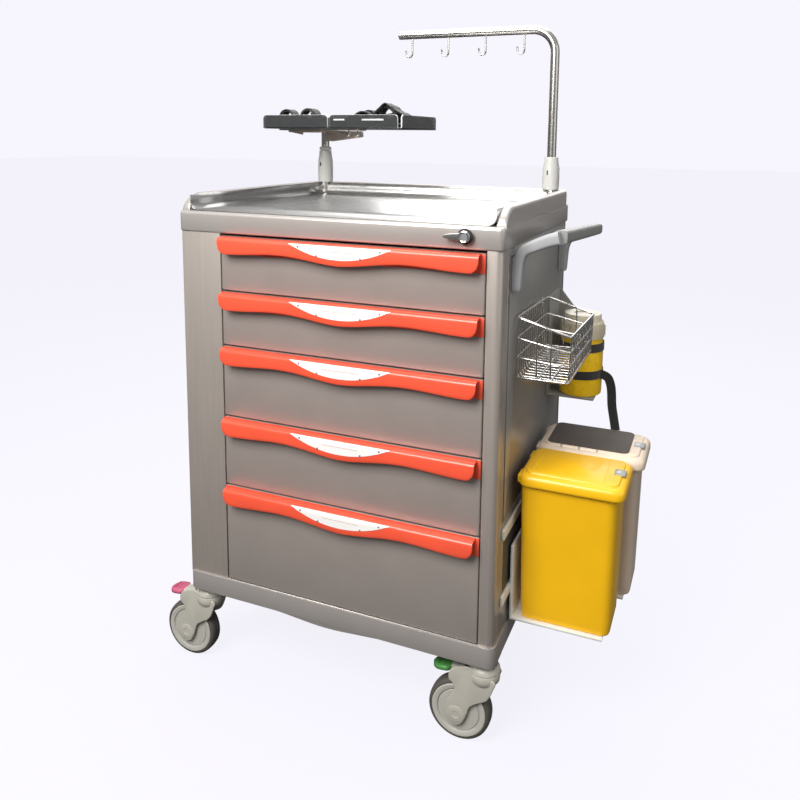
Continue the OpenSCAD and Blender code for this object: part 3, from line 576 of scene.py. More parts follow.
def make_pull(k):
    node, body = "drawer_%d_pull" % k, "drawer_%d" % k
    x0, x1, y0, y1, _, top = layout(node)
    a, b = x0 + 6.5, x1 - 6.5
    corner, crown, inner = 17, 7, y0 + 3.4
    n = 72
    rings = []
    for i in range(n + 1):
        # sections stand closer together at the ends
        u = i / n - math.sin(2 * math.pi * i / n) * 0.11
        x = a + (b - a) * u
        deep = lip_depth(u)
        e = min(x - a, b - x)
        if e < corner:
            deep -= corner - math.sqrt(max(0, corner ** 2 - (corner - e) ** 2))
        ring = [(y1 - 0.2, 3.4), (y1 - 0.2, 0.2), (y0 + 8, 0)]
        ring += [(y0 + 8 - 7.4 * s, crown * (1 - c)) for c, s in arc(0, 0, 1, 15, 90, 5)]
        ring += [(y0 + 0.6 - 0.54 * math.sin(math.pi * f), crown + (deep - crown) * f)
                 for f in (0.25, 0.5, 0.75, 0.94)]
        ring += [(y0 + 1.2, deep), (inner - 0.6, deep), (inner, deep - 1.6), (inner, 8), (inner + 4, 3.4)]
        rings.append([(x, y, top - down) for y, down in ring])
    put(loft_piece("pull_%d_lip" % k, rings, "coral", angle=50), body, "pull_coral", node)
    plate = box_piece("pull_%d_plate" % k, x0, x1, y1 - 2, y1 + 0.02, top - 34, top - 0.4, "coral", 0.6, 2)
    put(plate, body, "pull_coral")


def make_label(k):
    """A white card, bowed along its lower edge, that follows the pull's rounded face."""
    node, body = "drawer_%d_label" % k, "drawer_%d" % k
    x0, x1 = layout(node)[:2]
    mid, half = (x0 + x1) / 2, (x1 - x0) / 2
    pull = layout("drawer_%d_pull" % k)
    face, top = pull[2], pull[5]
    drop, n = 25, 48
    radius = (half ** 2 + drop ** 2) / (2 * drop)
    rings = []
    for i in range(n + 1):
        x = mid - half + 2 * half * i / n
        low = top - 2 - drop + radius - math.sqrt(max(0, radius ** 2 - (x - mid) ** 2))
        low = min(low, top - 3.2)
        ring = []
        for f in range(7):
            z = top - 2.2 + (low - top + 2.2) * f / 6
            over = max(0.0, z - (top - 7))
            y = face + 7.6 - 7.4 * math.sqrt(max(0, 1 - (over / 7.2) ** 2))
            ring.append((x, y - 0.75, z))
        back = [(x, y + 1.6, z) for _, y, z in ring[::-1]]
        rings.append(ring + back)
    put(loft_piece("label_%d_plate" % k, rings, "label", angle=40), body, "label_white", node)
    bm = bmesh.new()
    for dx, dz in ((-82, -7), (82, -7), (-44, -21.5), (44, -21.5)):
        lathe("", [(1.9, 0), (1.9, -0.6), (1.2, -0.95), (0.02, -1.05)], (mid + dx, face - 0.1, top + dz), "Y",
              "pin", 14, bm=bm)
    put(object_of("label_%d_pins" % k, bm, "pin"), body, "label_white")
    rule = box_piece("label_%d_rule" % k, mid - 34, mid + 40, face - 0.95, face - 0.2, top - 12.6, top - 12,
                     "line", 0)
    put(rule, body, "label_white")


def make_drawers():
    for k in range(1, 6):
        body = "drawer_%d" % k
        put(soften(body + "_front", 2.2, "front"), body, "front_silver", body + "_front")
        put(soften(body + "_box", 0.6, "box", 2), body, "drawer_grey", body + "_box")
        make_pull(k)
        make_label(k)


# ---------------------------------------------------------------- lock


def make_lock():
    x0, x1, y0, y1, z0, z1 = layout("lock_body")
    cx, cz = (x0 + x1) / 2, (z0 + z1) / 2
    lever_front, lever_back = layout("lock_lever")[2:4]

    def turned(name, profile, mat, steps=48):
        return lathe(name, profile, (cx, 0, cz), "Y", mat, steps)

    barrel = [(3.2, y0), (9.5, y0), (11, y0 + 1), (12, y0 + 3), (12, 0), (10, 0), (10, y1)]
    put(turned("lock_barrel", barrel, "chrome"), "cabinet", "lock_chrome", "lock_body")
    shade = [(8, y0 + 0.4), (13.5, y0 + 0.4), (14, y0 + 1.2), (14, y0 + 2), (8, y0 + 2), (8, y0 + 0.4)]
    put(turned("lock_shade", shade, "black"), "cabinet", "lock_chrome")
    disc = [(3, 6), (10.4, 6), (10.8, 3), (10.2, 0.8), (8.6, 0.1), (7.2, 0.6), (6.6, 2.4), (0.02, 2.4)]
    disc = [(0.02, lever_back), (3, lever_back)] + [(r, lever_front + a) for r, a in disc]
    put(turned("lock_disc", disc, "chrome"), "lock", "lock_chrome")
    core = [(0.02, 2.6), (6.4, 2.6), (6.4, 2), (5.6, 1.4), (0.02, 1.4)]
    put(turned("lock_core", [(r, lever_front + a) for r, a in core], "latch", 32), "lock", "lock_chrome")
    outline = [(-7.5, 6.4), (-14, 5.4), (-27, 4), (-36.6, 0.5), (-36, -3), (-26, -4.6), (-14, -6), (-7.5, -7)]
    outline = smooth_path([(cx + x, cz + z) for x, z in outline], 5)
    lever = upright("lock_paddle", outline, lever_front + 1, lever_front + 5.6, "chrome", 1.6, 4)
    put(lever, "lock", "lock_chrome", "lock_lever")


# ---------------------------------------------------------------- handle


def make_handle():
    x0, _, y0, y1, _, z1 = layout("handle_arms")
    g = layout("handle_grip")
    gx, gr = (g[0] + g[1]) / 2, (g[1] - g[0]) / 2
    high, drop = z1 - gr, g[5] - g[4] - 2 * gr

    def arm_section(t):
        grow = min(1.0, 0.86 + t * 5)
        thick = (15.5 + 6.5 * min(1, t * 1.2)) * grow
        return soft_rect(23 * grow, thick, thick * 0.26, 4)

    for tag, y, rise in (("front", y0 + 12, high), ("rear", y1 - 12, high - drop)):
        foot = rise - 98
        path = [(x0 + 8.5, foot + 2), (x0 + 9.5, foot + 26), (x0 + 11.5, foot + 54), (x0 + 19, foot + 72),
                (x0 + 37, foot + 82), (gx - 17, rise - 5.5), (gx + 1, rise - 0.5)]
        bm = bmesh.new()
        path = smooth_path([(x, y, z) for x, z in path], 7)
        sweep(bm, path, arm_section, up=Vector((0.4, 0, -1)).normalized())
        arm = object_of("handle_arm_" + tag, bm, "handle", angle=50)
        put(arm, "cabinet", "light_grey_plastic", *(["handle_arms"] if tag == "front" else []))
        pad = box_piece("handle_foot_" + tag, x0 - 0.2, x0 + 4.5, y - 12, y + 12, foot + 2, foot + 60,
                        "handle", 2.2)
        put(pad, "cabinet", "light_grey_plastic")

    # grip: a fuller bar with flats, running down towards the back
    near, far = y0 + 21, y1 - 1
    drop *= (far - near) / (y1 - y0 - 24)
    path = [(gx, near + (far - near) * k / 24, high - drop * k / 24) for k in range(25)]

    def grip_section(t):
        full = gr * min(1.0, 0.9 + 6 * (1 - t)) * (0.97 + 0.02 * math.sin(math.pi * t))
        return soft_rect(1.98 * full, 1.94 * full, full * 0.5, 6)

    bm = bmesh.new()
    sweep(bm, path, grip_section)
    put(object_of("handle_bar", bm, "grip", angle=50), "cabinet", "grip_grey", "handle_grip")


# ---------------------------------------------------------------- posts


def make_posts():
    x0, x1, y0, y1, z0, _ = layout("post_sockets")
    cy = (y0 + y1) / 2
    for tag, cx, h in (("right", x1 - 19, 73), ("left", x0 + 19, 80)):
        top = z0 + h
        profile = [(10.4, z0), (17.5, z0), (18.6, z0 + 6), (19, z0 + 30), (18.2, top - 24), (16, top - 12),
                   (15.4, top - 2), (14.6, top), (10.4, top), (10.4, z0)]
        collar = lathe("socket_" + tag, profile, (cx, cy, 0), "Z", "collar", 48)
        put(collar, "cabinet", "light_grey_plastic", *(["post_sockets"] if tag == "right" else []))
        bm = bmesh.new()
        for s in (-1, 1):
            ear = [(4.5, s * 11.4), (4.5, s * 17.6), (3.4, s * 18.9), (0.02, s * 19)]
            lathe("", ear, (cx, cy, top - 26), "X", "collar", 20, bm=bm)
        put(object_of("socket_ears_" + tag, bm, "collar"), "cabinet", "light_grey_plastic")
        # painted shade: a near-black box for the dark inside of the collar's slot
        slot_piece = box_piece("socket_slot_" + tag, cx - 6, cx - 3, cy - 19.4, cy - 15, top - 40, top - 30,
                               "black", 0.4, 2)
        put(slot_piece, "cabinet", "side_grey")


def make_pole():
    x0, x1, y0, y1, z0, z1 = layout("drip_pole")
    r = (y1 - y0) / 2
    cx, cy, cz = x1 - r, (y0 + y1) / 2, z1 - r
    bend, across = 52, Vector((0, 1, 0))
    path = [(cx, z0 + (cz - bend - z0) * k / 6) for k in range(7)]
    path += arc(cx - bend, cz - bend, bend, 6, 90, 14)
    path += [(cx - bend - (cx - bend - x0) * k / 6, cz) for k in range(1, 7)]
    path = [(x, cy, z) for x, z in path]
    bm = bmesh.new()
    outside = sweep(bm, path, circle(r, 32), up=across, caps=False)[-1]
    inside = sweep(bm, path[-4:], circle(r * 0.84, 32), up=across, caps=False)[-1]
    for i in range(32):
        j = (i + 1) % 32
        bm.faces.new((outside[i], outside[j], inside[j], inside[i]))
    put(object_of("drip_tube", bm, "steel", angle=50), "drip", "stainless", "drip_pole")
    low, high = layout("drip_hooks")[4:]
    low += 10
    paths = []
    for i in range(4):
        x = x0 + 33 + 91 * i
        hook = [(x, high + 2), (x, high - 14), (x, low + 6)] + arc(x - 8, low, 8, 0, -180, 12)
        tip = [(x - 16, cy, low + 5), (x - 17, cy - 0.5, low + 8)]
        paths.append([(u, cy, z) for u, z in hook] + tip)
    put(wires("drip_hook_wires", paths, 1.9, "steel", 12), "drip", "stainless", "drip_hooks")


def make_shelf_stand():
    """The post, and the plate and tapered arm that carry the tray."""
    x0, x1, _, _, z0, _ = layout("shelf_post")
    floor = layout("shelf_tray")[4]
    cx, cy = 40 - HALF_W, DEPTH - 15
    post = lathe("shelf_pillar", [(0.02, z0), (10, z0), (10, floor - 8), (0.02, floor - 8)], (cx, cy, 0), "Z",
                 "steel", 40)
    put(post, "shelf", "stainless", "shelf_post")
    low = layout("post_sockets")[5] + 0.6
    profile = [(10, low), (14, low + 0.5), (15, low + 2), (15, low + 6), (14, low + 8), (10, low + 8)]
    put(lathe("shelf_stop_ring", profile, (cx, cy, 0), "Z", "collar", 40), "shelf", "light_grey_plastic")
    web = [(7, -4), (98, -4), (100, -16), (96, -19), (12, -30), (7, -28)]
    web = [(cx + x, floor + z) for x, z in web]
    rib = [(-44, -4), (-8, -4), (-8, -14), (-40, -8)]
    rib = [(cx + x, floor + z) for x, z in rib]
    for ob in (
        box_piece("shelf_plate", x0, x1, cy - 104, cy - 72, floor - 3.4, floor - 0.1, "arm", 0.6, 2),
        box_piece("shelf_head", cx - 46, cx + 46, cy - 104, cy + 24, floor - 7.9, floor - 3.2, "arm", 0.8, 2),
        upright("shelf_arm_front", web, cy - 16, cy - 13, "arm", 0.8, 3),
        upright("shelf_arm_rear", web, cy + 13, cy + 16, "arm", 0.8, 3),
        box_piece("shelf_arm_cap", cx + 97, cx + 100, cy - 16, cy + 16, floor - 18, floor - 4, "arm", 1),
        upright("shelf_plate_rib", rib, cy - 100, cy - 97, "arm", 0.6, 2),
    ):
        put(ob, "shelf", "stainless")
    knob = [(2.2, -2), (2.2, -9), (5, -9.5), (5, -14), (4, -16.5), (0.02, -16.9)]
    bm = bmesh.new()
    for x in (cx + 112, cx + 136):
        lathe("", [(r, floor + z) for r, z in knob], (x, cy - 90, 0), "Z", "steel", 20, bm=bm)
    put(object_of("shelf_knobs", bm, "steel"), "shelf", "stainless")


def make_shelf_tray():
    """Floor sheet and wall segments with rounded shoulders, clear at the face and pale at the cut edge."""
    x0, x1, y0, y1, floor, high = layout("shelf_tray")
    sheet, shoulder = 4, 9
    plan = rounded_plan(x0, x1, y0, y1, 10, 5)
    base = prism("tray_sheet", plan, "Z", floor, floor + sheet, "acrylic", 0.8, 2, 40)
    put(base, "shelf", "clear_acrylic", "shelf_tray")

    def wall(name, axis, a, b, at):
        outline = [(a, floor + 1), (b, floor + 1), (b, high - shoulder)]
        outline += arc(b - shoulder, high - shoulder, shoulder, 15, 90, 5)
        outline += arc(a + shoulder, high - shoulder, shoulder, 90, 180, 6)
        ob = prism("tray_wall_" + name, outline, axis, at, at + sheet, "acrylic", 0)
        ob.data.materials.append(M["acrylic_edge"])
        for p in ob.data.polygons:
            if len(p.vertices) == 4:
                p.material_index = 1
        bevel(ob, 0.5, 1, 40)
        put(ob, "shelf", "clear_acrylic")

    mid, split, corner = (x0 + x1) / 2, 5, 8
    for side, y in (("front", y0), ("rear", y1 - sheet)):
        wall(side + "_a", "Y", x0 + 1, mid - split, y)
        wall(side + "_b", "Y", mid, x1 - corner, y)
    for side, x in (("left", x0), ("right", x1 - sheet)):
        wall(side, "X", y0 + corner, y1 - corner, x)
    # slots near the tops of the longer walls
    for side, y in (("front", y0 - 0.3), ("rear", y1 - 0.95)):
        for i, (share, long) in enumerate(((0.53, 28), (0.73, 54))):
            x = x0 + share * (x1 - x0)
            ob = box_piece("tray_slot_%s_%d" % (side, i), x, x + long, y, y + 1, high - 13, high - 9.5,
                           "acrylic_edge", 0.3, 2)
            put(ob, "shelf", "clear_acrylic")


def make_shelf_straps():
    """A loose heap of webbing: coils, then bands laid over them, then two buckles."""
    x0, _, y0, _, floor, _ = layout("shelf_tray")
    corner = Vector((x0, y0, floor + 5.2))
    bm = bmesh.new()
    # x, y, radius, turns, how far the coil leans, width
    for x, y, r, turns, lean, width in ((40, 54, 21, 2.2, 5, 30), (98, 58, 22, 2.3, -5, 30),
                                        (250, 72, 20, 2.0, 6, 30), (294, 86, 26, 2.4, -4, 36)):
        n = int(26 * turns)
        path = []
        for k in range(n + 1):
            a = math.radians(-60 + 360 * turns * k / n)
            shrunk = r * (1 - 0.34 * k / n)
            spot = Vector((x + shrunk * math.cos(a), y + lean * k / n, r + shrunk * math.sin(a)))
            path.append(corner + spot)
        ribbon(bm, path, width, 2.2)
    for width, thick, per, points in (
        (36, 2.2, 5, ((10, 46, 2), (40, 62, 6), (76, 70, 3), (118, 60, 9), (140, 70, 2), (180, 76, 3),
                      (214, 66, 8))),
        (38, 2.4, 6, ((196, 52, 3), (214, 54, 19), (236, 58, 34), (252, 62, 33), (262, 66, 27), (276, 72, 40),
                      (290, 76, 53), (300, 78, 50), (314, 82, 40), (334, 88, 26), (338, 92, 9),
                      (322, 96, 3))),
        (36, 2.4, 6, ((222, 92, 2), (246, 96, 15), (270, 98, 26), (300, 96, 31), (326, 94, 33), (340, 98, 19),
                      (336, 104, 4))),
        (34, 2.4, 6, ((206, 36, 3), (250, 38, 12), (292, 44, 14), (330, 56, 6))),
        (34, 2.4, 6, ((210, 112, 3), (250, 116, 10), (296, 120, 13), (330, 116, 5))),
    ):
        ribbon(bm, smooth_path([corner + Vector(p) for p in points], per), width, thick)
    put(object_of("shelf_webbing", bm, "strap", angle=60), "shelf", "strap_black", "shelf_straps")
    bm = bmesh.new()
    for centre in ((232, 34, 16), (120, 40, 10)):
        frame_corners = ((-17, -6), (17, -6), (17, 8), (-17, 8))
        loop = [corner + Vector(centre) + Vector((x, 0, z)) for x, z in frame_corners]
        sweep(bm, loop, circle(2.4, 8), closed=True, up=Vector((0.1, 1, 0.2)).normalized())
    put(object_of("shelf_buckles", bm, "black", angle=60), "shelf", "strap_black")


# ---------------------------------------------------------------- side fittings


def make_basket():
    x0, x1, y0, y1, z0, z1 = layout("basket")
    rim = 2.6
    a, b, c, d = x0 + rim, x1 - rim, y0 + rim, y1 - rim
    top_in, top_out, low = z1 - 2.8, z1 - 30, z0 + 3
    drop = 9

    def ring(z_in, z_out, pull, fall):
        """A loop round the basket with eased corners, drawn in by pull and falling towards the back."""
        corners = [Vector(p) for p in ((a, c + pull, z_in), (b - pull, c + pull, z_out),
                                       (b - pull, d - pull, z_out - fall), (a, d - pull, z_in - fall))]
        out = []
        for i, q in enumerate(corners):
            u = (corners[i - 1] - q).normalized() * 7
            v = (corners[(i + 1) % 4] - q).normalized() * 7
            for t in (0, 0.25, 0.5, 0.75, 1):
                out.append((q + u) * (1 - t) ** 2 + q * 2 * t * (1 - t) + (q + v) * t * t)
        return out

    bm = bmesh.new()
    sweep(bm, ring(top_in, top_out, 0, drop), circle(2.3), closed=True, up=LEAN)
    for f in (0.34, 0.66, 1.0):
        lower = [z + (low + 2 - z) * f for z in (top_in, top_out)]
        sweep(bm, ring(*lower, 2 * f, drop * (1 - f)), circle(1.5, 10), closed=True, up=LEAN)
    # wires down the inner side, under the floor and up the outer side
    n = 14
    for i in range(n + 1):
        y = c + 6 + (d - c - 12) * i / n
        down = drop * (y - c) / (d - c)
        path = [(a, top_in + 1 - down), (a + 0.6, low + 8), (a + 4, low + 0.5), (a + 9, low - 1),
                (b - 11, low - 1), (b - 6, low + 0.5), (b - 2.6, low + 8), (b, top_out + 1 - down)]
        sweep(bm, [(x, y, z) for x, z in path], circle(1.3, 8), up=LEAN)
    # two wires the other way
    for share in (0.38, 0.64):
        x = a + (b - a) * share
        top = top_in + (top_out - top_in) * share
        path = [(c, top), (c + 1.2, low + 8), (c + 4, low + 1), (c + 10, low + 0.6), (d - 10, low + 0.6),
                (d - 4, low + 1), (d - 1.2, low + 8), (d, top - drop)]
        sweep(bm, [(x, y, z) for y, z in path], circle(1.4, 8), up=LEAN)
    # hooks on the wall side
    for y in (c + 46, d - 46):
        path = [(a + 1, y, top_in - 20), (a - 1.4, y, top_in - 6), (a - 2.2, y, top_in - 1),
                (a - 1.6, y, top_in + 0.5)]
        sweep(bm, smooth_path(path, 4), circle(1.1, 8), up=LEAN)
    put(object_of("basket_wires", bm, "chrome", angle=60), "basket", "basket_chrome", "basket")


def make_jar():
    x0, x1, y0, y1, z0, z1 = layout("jar_body")
    cx, cy, r = (x0 + x1) / 2, (y0 + y1) / 2, (x1 - x0) / 2
    profile = [(0.02, z0 + 2), (r - 9, z0 + 1), (r - 4, z0), (r - 1.2, z0 + 2.5), (r - 0.6, z0 + 8),
               (r - 0.1, z0 + 40), (r - 0.1, z1 - 14), (r - 1.4, z1 - 10), (r - 1.4, z1), (r - 3.4, z1),
               (r - 3.4, z0 + 6), (0.02, z0 + 5)]
    put(lathe("jar_shell", profile, (cx, cy, 0), "Z", "jar"), "cabinet", "sharps_yellow", "jar_body")
    make_jar_cap(cx, cy)
    put(soften("jar_bracket", 0.8, "bracket", 2), "cabinet", "bracket_grey", "jar_bracket")
    make_jar_straps(cx, cy, r, z0)


def make_jar_cap(cx, cy):
    x0, x1, _, _, low, top = layout("jar_lid")
    r = (x1 - x0) / 2
    cap = [(r - 3, low), (r - 0.3, low), (r, low + 3), (r - 0.4, low + 26), (r - 1.6, low + 32),
           (r - 5, low + 35), (r - 6.8, low + 38), (r - 7.4, top - 3), (r - 9.5, top), (18.5, top),
           (17, top - 1.4), (17, top - 9), (20, top - 10), (r - 12, top - 12), (r - 4.5, low + 30),
           (r - 4.5, low), (r - 3, low)]
    put(lathe("jar_cap_shell", cap, (cx, cy, 0), "Z", "jarlid"), "jar_cap", "sharps_lid", "jar_lid")
    flap = [(0.02, -5), (15.4, -5), (16.2, -4), (16.2, -2.6), (14, -2.2), (0.02, -2.6)]
    flap = lathe("jar_cap_flap", [(u, top + v) for u, v in flap], (cx, cy, 0), "Z", "jarlid", 40)
    put(flap, "jar_cap", "sharps_lid")
    # thumb latch on the rim, turned a little towards the back
    ring = [(r - 5, -9), (r + 1.2, -9), (r + 1.6, -7), (r + 1.6, 7), (r + 1.2, 9), (r - 5, 9)]
    turn = math.radians(14)
    c, s = math.cos(turn), math.sin(turn)
    ring = [(cx + u * c - v * s, cy + u * s + v * c) for u, v in ring]
    rings = [[(x, y, low + up) for x, y in ring] for up in (4, 22, 27)]
    put(loft_piece("jar_cap_latch", rings, "jarlid", angle=30), "jar_cap", "sharps_lid")
    bm = bmesh.new()
    for x, y in circle(r - 0.9, 20):
        rib = [(1.1, low + 5), (1.1, low + 24), (0.02, low + 26)]
        lathe("", rib, (cx + x, cy + y, 0), "Z", "jarlid", 8, bm=bm)
    put(object_of("jar_cap_ribs", bm, "jarlid"), "jar_cap", "sharps_lid")


def make_jar_straps(cx, cy, r, z0):
    """Two bands round the jar, and the lower band's loose end."""
    bm = bmesh.new()
    low = z0 + 48
    for z in (low, low + 59):
        ribbon(bm, [(x, y, z) for x, y in arc(cx, cy, r + 0.95, 172, -172, 48)], 18, 1.6, Vector((0, 0, 1)))
    spine = [(r - 14, -r * 0.62, 0), (r - 3, -r * 0.36, 0), (r + 5, -12, -2), (r + 14, -5, -10),
             (r + 19.5, -2, -25), (r + 22, 0, -43), (r + 24, 0, -71), (r + 29, 0, -99), (r + 34, 0, -126)]
    face = Vector((0.18, -1, 0.05)).normalized()
    section = ((-9.4, -0.8), (9.4, -0.8), (9.4, 0.8), (0, 1.1), (-9.4, 0.8))
    rings = []
    for p, t in headings(smooth_path([(cx + x, cy + y, low + z) for x, y, z in spine], 6)):
        side = face.cross(t).normalized()
        normal = t.cross(side).normalized()
        rings.append([tuple(p + side * u + normal * v) for u, v in section])
    loft(bm, rings)
    put(object_of("jar_webbing", bm, "strap", angle=60), "cabinet", "strap_black", "jar_strap")
    buckle = box_piece("strap_buckle", cx - 13, cx + 13, cy - r - 5, cy - r - 1.2, z0 + 95, z0 + 119,
                       "black", 1.2)
    put(buckle, "cabinet", "strap_black")


def make_bin(which, mat, finish):
    name, body = "bin_%s_" % which, "bin_" + which
    x0, x1, y0, y1, z0, z1 = layout(name + "body")
    # height, how far in from the CAD box, corner radius: up the outside, then down the inside
    outside = ((z0, 9, 13), (z0 + 1.2, 6.6, 15), (z0 + 4, 5.4, 17), (z0 + 30, 4.6, 18), (z1 - 8, 0.4, 18),
               (z1 - 6, 0, 18), (z1, 0, 18))
    inside = ((z1, 2.4, 16), (z0 + 30, 7, 15), (z0 + 4, 8, 14))
    rings = [plan_ring(z, x0 + i, x1 - i, y0 + i * 0.6, y1 - i * 0.6, r) for z, i, r in outside]
    rings += [plan_ring(z, x0 + i, x1 - i, y0 + 2.4 + i * 0.1, y1 - 2.4 - i * 0.1, r) for z, i, r in inside]
    put(loft_piece(name + "shell", rings, mat, angle=50), body, finish, name + "body")
    make_bin_cover(which, mat, finish, z1 + 1)


def make_bin_cover(which, mat, finish, base):
    name, body = "bin_%s_" % which, "bin_%s_cover" % which
    back, x1, y0, y1 = layout(name + "lid")[:4]
    x0, top = back + 3, base + 26
    # height above the base, how far in, corner radius
    steps = ((0, 3.6, 17), (0, 1.6, 19), (1.4, 0.4, 20), (4, 0, 20), (13, 0.5, 20), (17.5, 2.4, 19),
             (20.6, 5.6, 17), (22, 9.5, 15), (22.3, 12, 14), (23.2, 12.6, 13), (25.2, 13.4, 12),
             (26, 15.4, 10))
    rings = [plan_ring(base + up, x0 + i, x1 - i, y0 + i, y1 - i, r) for up, i, r in steps]
    put(loft_piece(name + "cover", rings, mat, angle=40), body, finish, name + "lid")
    # hinge ears on the wall side, and raised panel lines near the two ends of the top
    for i, y in enumerate((y0 + 26, y1 - 26)):
        ear = box_piece("%sear_%d" % (name, i), back + 1, x0 + 14, y - 15, y + 15, base + 1, base + 17,
                        mat, 3.5, 4)
        put(ear, body, finish)
    for i, x in enumerate((x0 + 25, x1 - 40)):
        rib = box_piece("%srib_%d" % (name, i), x - 1, x + 1, y0 + 22, y1 - 22, top - 0.6, top + 0.5,
                        mat, 0.4, 2)
        put(rib, body, finish)
    cy = (y0 + y1) / 2
    latch = box_piece(name + "latch", x1 - 27, x1 - 6.5, cy - 12, cy + 12, top - 3, top + 1.6, "latch", 1.2)
    put(latch, body, "insert_grey")
    tip = box_piece(name + "latch_tip", x1 - 24, x1 - 15, cy - 5, cy + 5, top + 1.2, top + 2.4,
                    "collar", 0.6, 2)
    put(tip, body, "insert_grey")
    if which == "rear":
        n = layout("bin_rear_insert")
        pad = prism("bin_rear_pad", rounded_plan(*n[:4], 12, 5), "Z", n[4] - 1.4, n[5] - 0.2,
                    "insert", 0.7, 2, 40)
        put(pad, body, "insert_grey", "bin_rear_insert")
        for i in range(3):
            x = n[0] + (0.18 + 0.22 * i) * (n[1] - n[0])
            tick = box_piece("bin_rear_tick_%d" % i, x, x + 2, n[2] - 9, n[2] + 1, top - 1, top + 0.4,
                             "latch", 0.2, 1)
            put(tick, body, "insert_grey")


# ---------------------------------------------------------------- castors


def make_castor(tag):
    x0, x1, y0, y1, z0, z1 = layout("wheel_" + tag)
    hub = ((x0 + x1) / 2, (y0 + y1) / 2, (z0 + z1) / 2)
    r, half = (x1 - x0) / 2, (y1 - y0) / 2
    make_castor_housing(tag, hub, r, half)
    make_wheel(tag, hub, r, half)


def make_castor_housing(tag, hub, r, half):
    """A drum with a sloping cap and a flared skirt, two cheeks, and a hood between them over the wheel."""
    name, body = "castor_%s_" % tag, "castor_" + tag
    wx, wy, wz = hub
    fork = layout("fork_" + tag)
    sx, top = fork[1] - 29, fork[5]
    drum = [(6.3, 0), (17, 0), (22, -1.2), (26, -4), (28, -8), (28.7, -12), (27.6, -14), (28.6, -16),
            (28.9, -24), (27.8, -31), (24, -36), (11.4, -36), (11.4, -12), (6.3, -12), (6.3, 0)]
    head = lathe(name + "head", [(u, top + v) for u, v in drum], (sx, wy, 0), "Z", "castor", 56)
    put(head, body, "castor_grey", "fork_" + tag)
    # each cheek sweeps from the head down round the hub and back up by a hollow rear edge
    cheek = [(sx + 25, top - 22), (sx + 23, top - 36), (sx + 12, wz + 42), (sx - 6, wz + 30)]
    by_hub = ((24, 18), (17, -2), (9, -19), (-4, -26), (-18, -19), (-25, -2), (-22, 16), (-12, 34), (-6, 48),
              (-10, 58), (-17, 64), (-18, 74), (-14, 84))
    cheek += [(wx + u, wz + v) for u, v in by_hub]
    cheek += [(wx - 2, top - 10), (wx + 14, top - 5), (sx - 18, top - 6), (sx, top - 12)]
    cheek = smooth_path(cheek, 5, closed=True)
    for side, mark in ((-1, "n"), (1, "f")):
        near, far = sorted((wy + side * (half + 2), wy + side * (half + 7)))
        put(upright(name + "cheek_" + mark, cheek, near, far, "castor", 2.2, 4), body, "castor_grey")
        # raised boss over the axle's end
        out = half + 8
        boss = [(0.02, half + 6.6), (17, half + 6.6), (16.6, out - 0.5), (15, out), (7, out), (6, out - 0.7),
                (0.02, out - 0.7)]
        boss = [(u, side * v) for u, v in boss]
        boss = lathe(name + "boss_" + mark, boss, (wx - 3, wy, wz - 3), "Y", "castor", 40)
        put(boss, body, "castor_grey")
    over = wz + r
    hood = [(sx - 14, top - 14), (sx - 8, top - 36), (wx + 20, over + 4), (wx, over + 4.5),
            (wx - 17, over + 2), (wx - 17, over + 5), (wx - 4, over + 8), (wx + 16, over + 12),
            (sx - 24, top - 14)]
    hood = smooth_path(hood, 4, closed=True)
    hood = upright(name + "hood", hood, wy - half - 3, wy + half + 3, "castor", 1.4, 3)
    put(hood, body, "castor_grey")
    end = half + 6.8
    axle = lathe(name + "axle", [(0.02, -end), (3.9, -end), (3.9, end), (0.02, end)], hub, "Y", "zinc", 32)
    put(axle, body, "zinc_steel")


def make_wheel(tag, hub, r, half):
    """A thin tyre round a broad pale rim, with a ringed groove and a dished disc."""
    tread = [(r - 13, 2.4), (r - 7.4, 1.4), (r - 3.4, 2.4), (r - 1, 5), (r - 0.1, 10)]
    tread = [(u, v - half) for u, v in tread] + [(r, -2.2), (r - 0.7, -1.6)]
    tread += [(u, -v) for u, v in tread[::-1]]
    tyre = lathe("wheel_%s_tyre" % tag, tread + tread[:1], hub, "Y", "tyre", 72, angle=50)
    put(tyre, "roller_" + tag, "wheel_tyre", "wheel_" + tag)
    disc = [(4.3, 0.2), (12, 0.2), (13, 1.6), (r - 21, 1.8), (r - 19.4, 4), (r - 18, 1.4), (r - 16, 0.4),
            (r - 9.4, 0.3), (r - 7.8, 1.6), (r - 8.4, 4)]
    disc = [(u, v - half) for u, v in disc]
    disc += [(u, -v) for u, v in disc[::-1]]
    rim = lathe("wheel_%s_hub" % tag, disc + disc[:1], hub, "Y", "hub", 72, angle=30)
    put(rim, "roller_" + tag, "castor_grey")


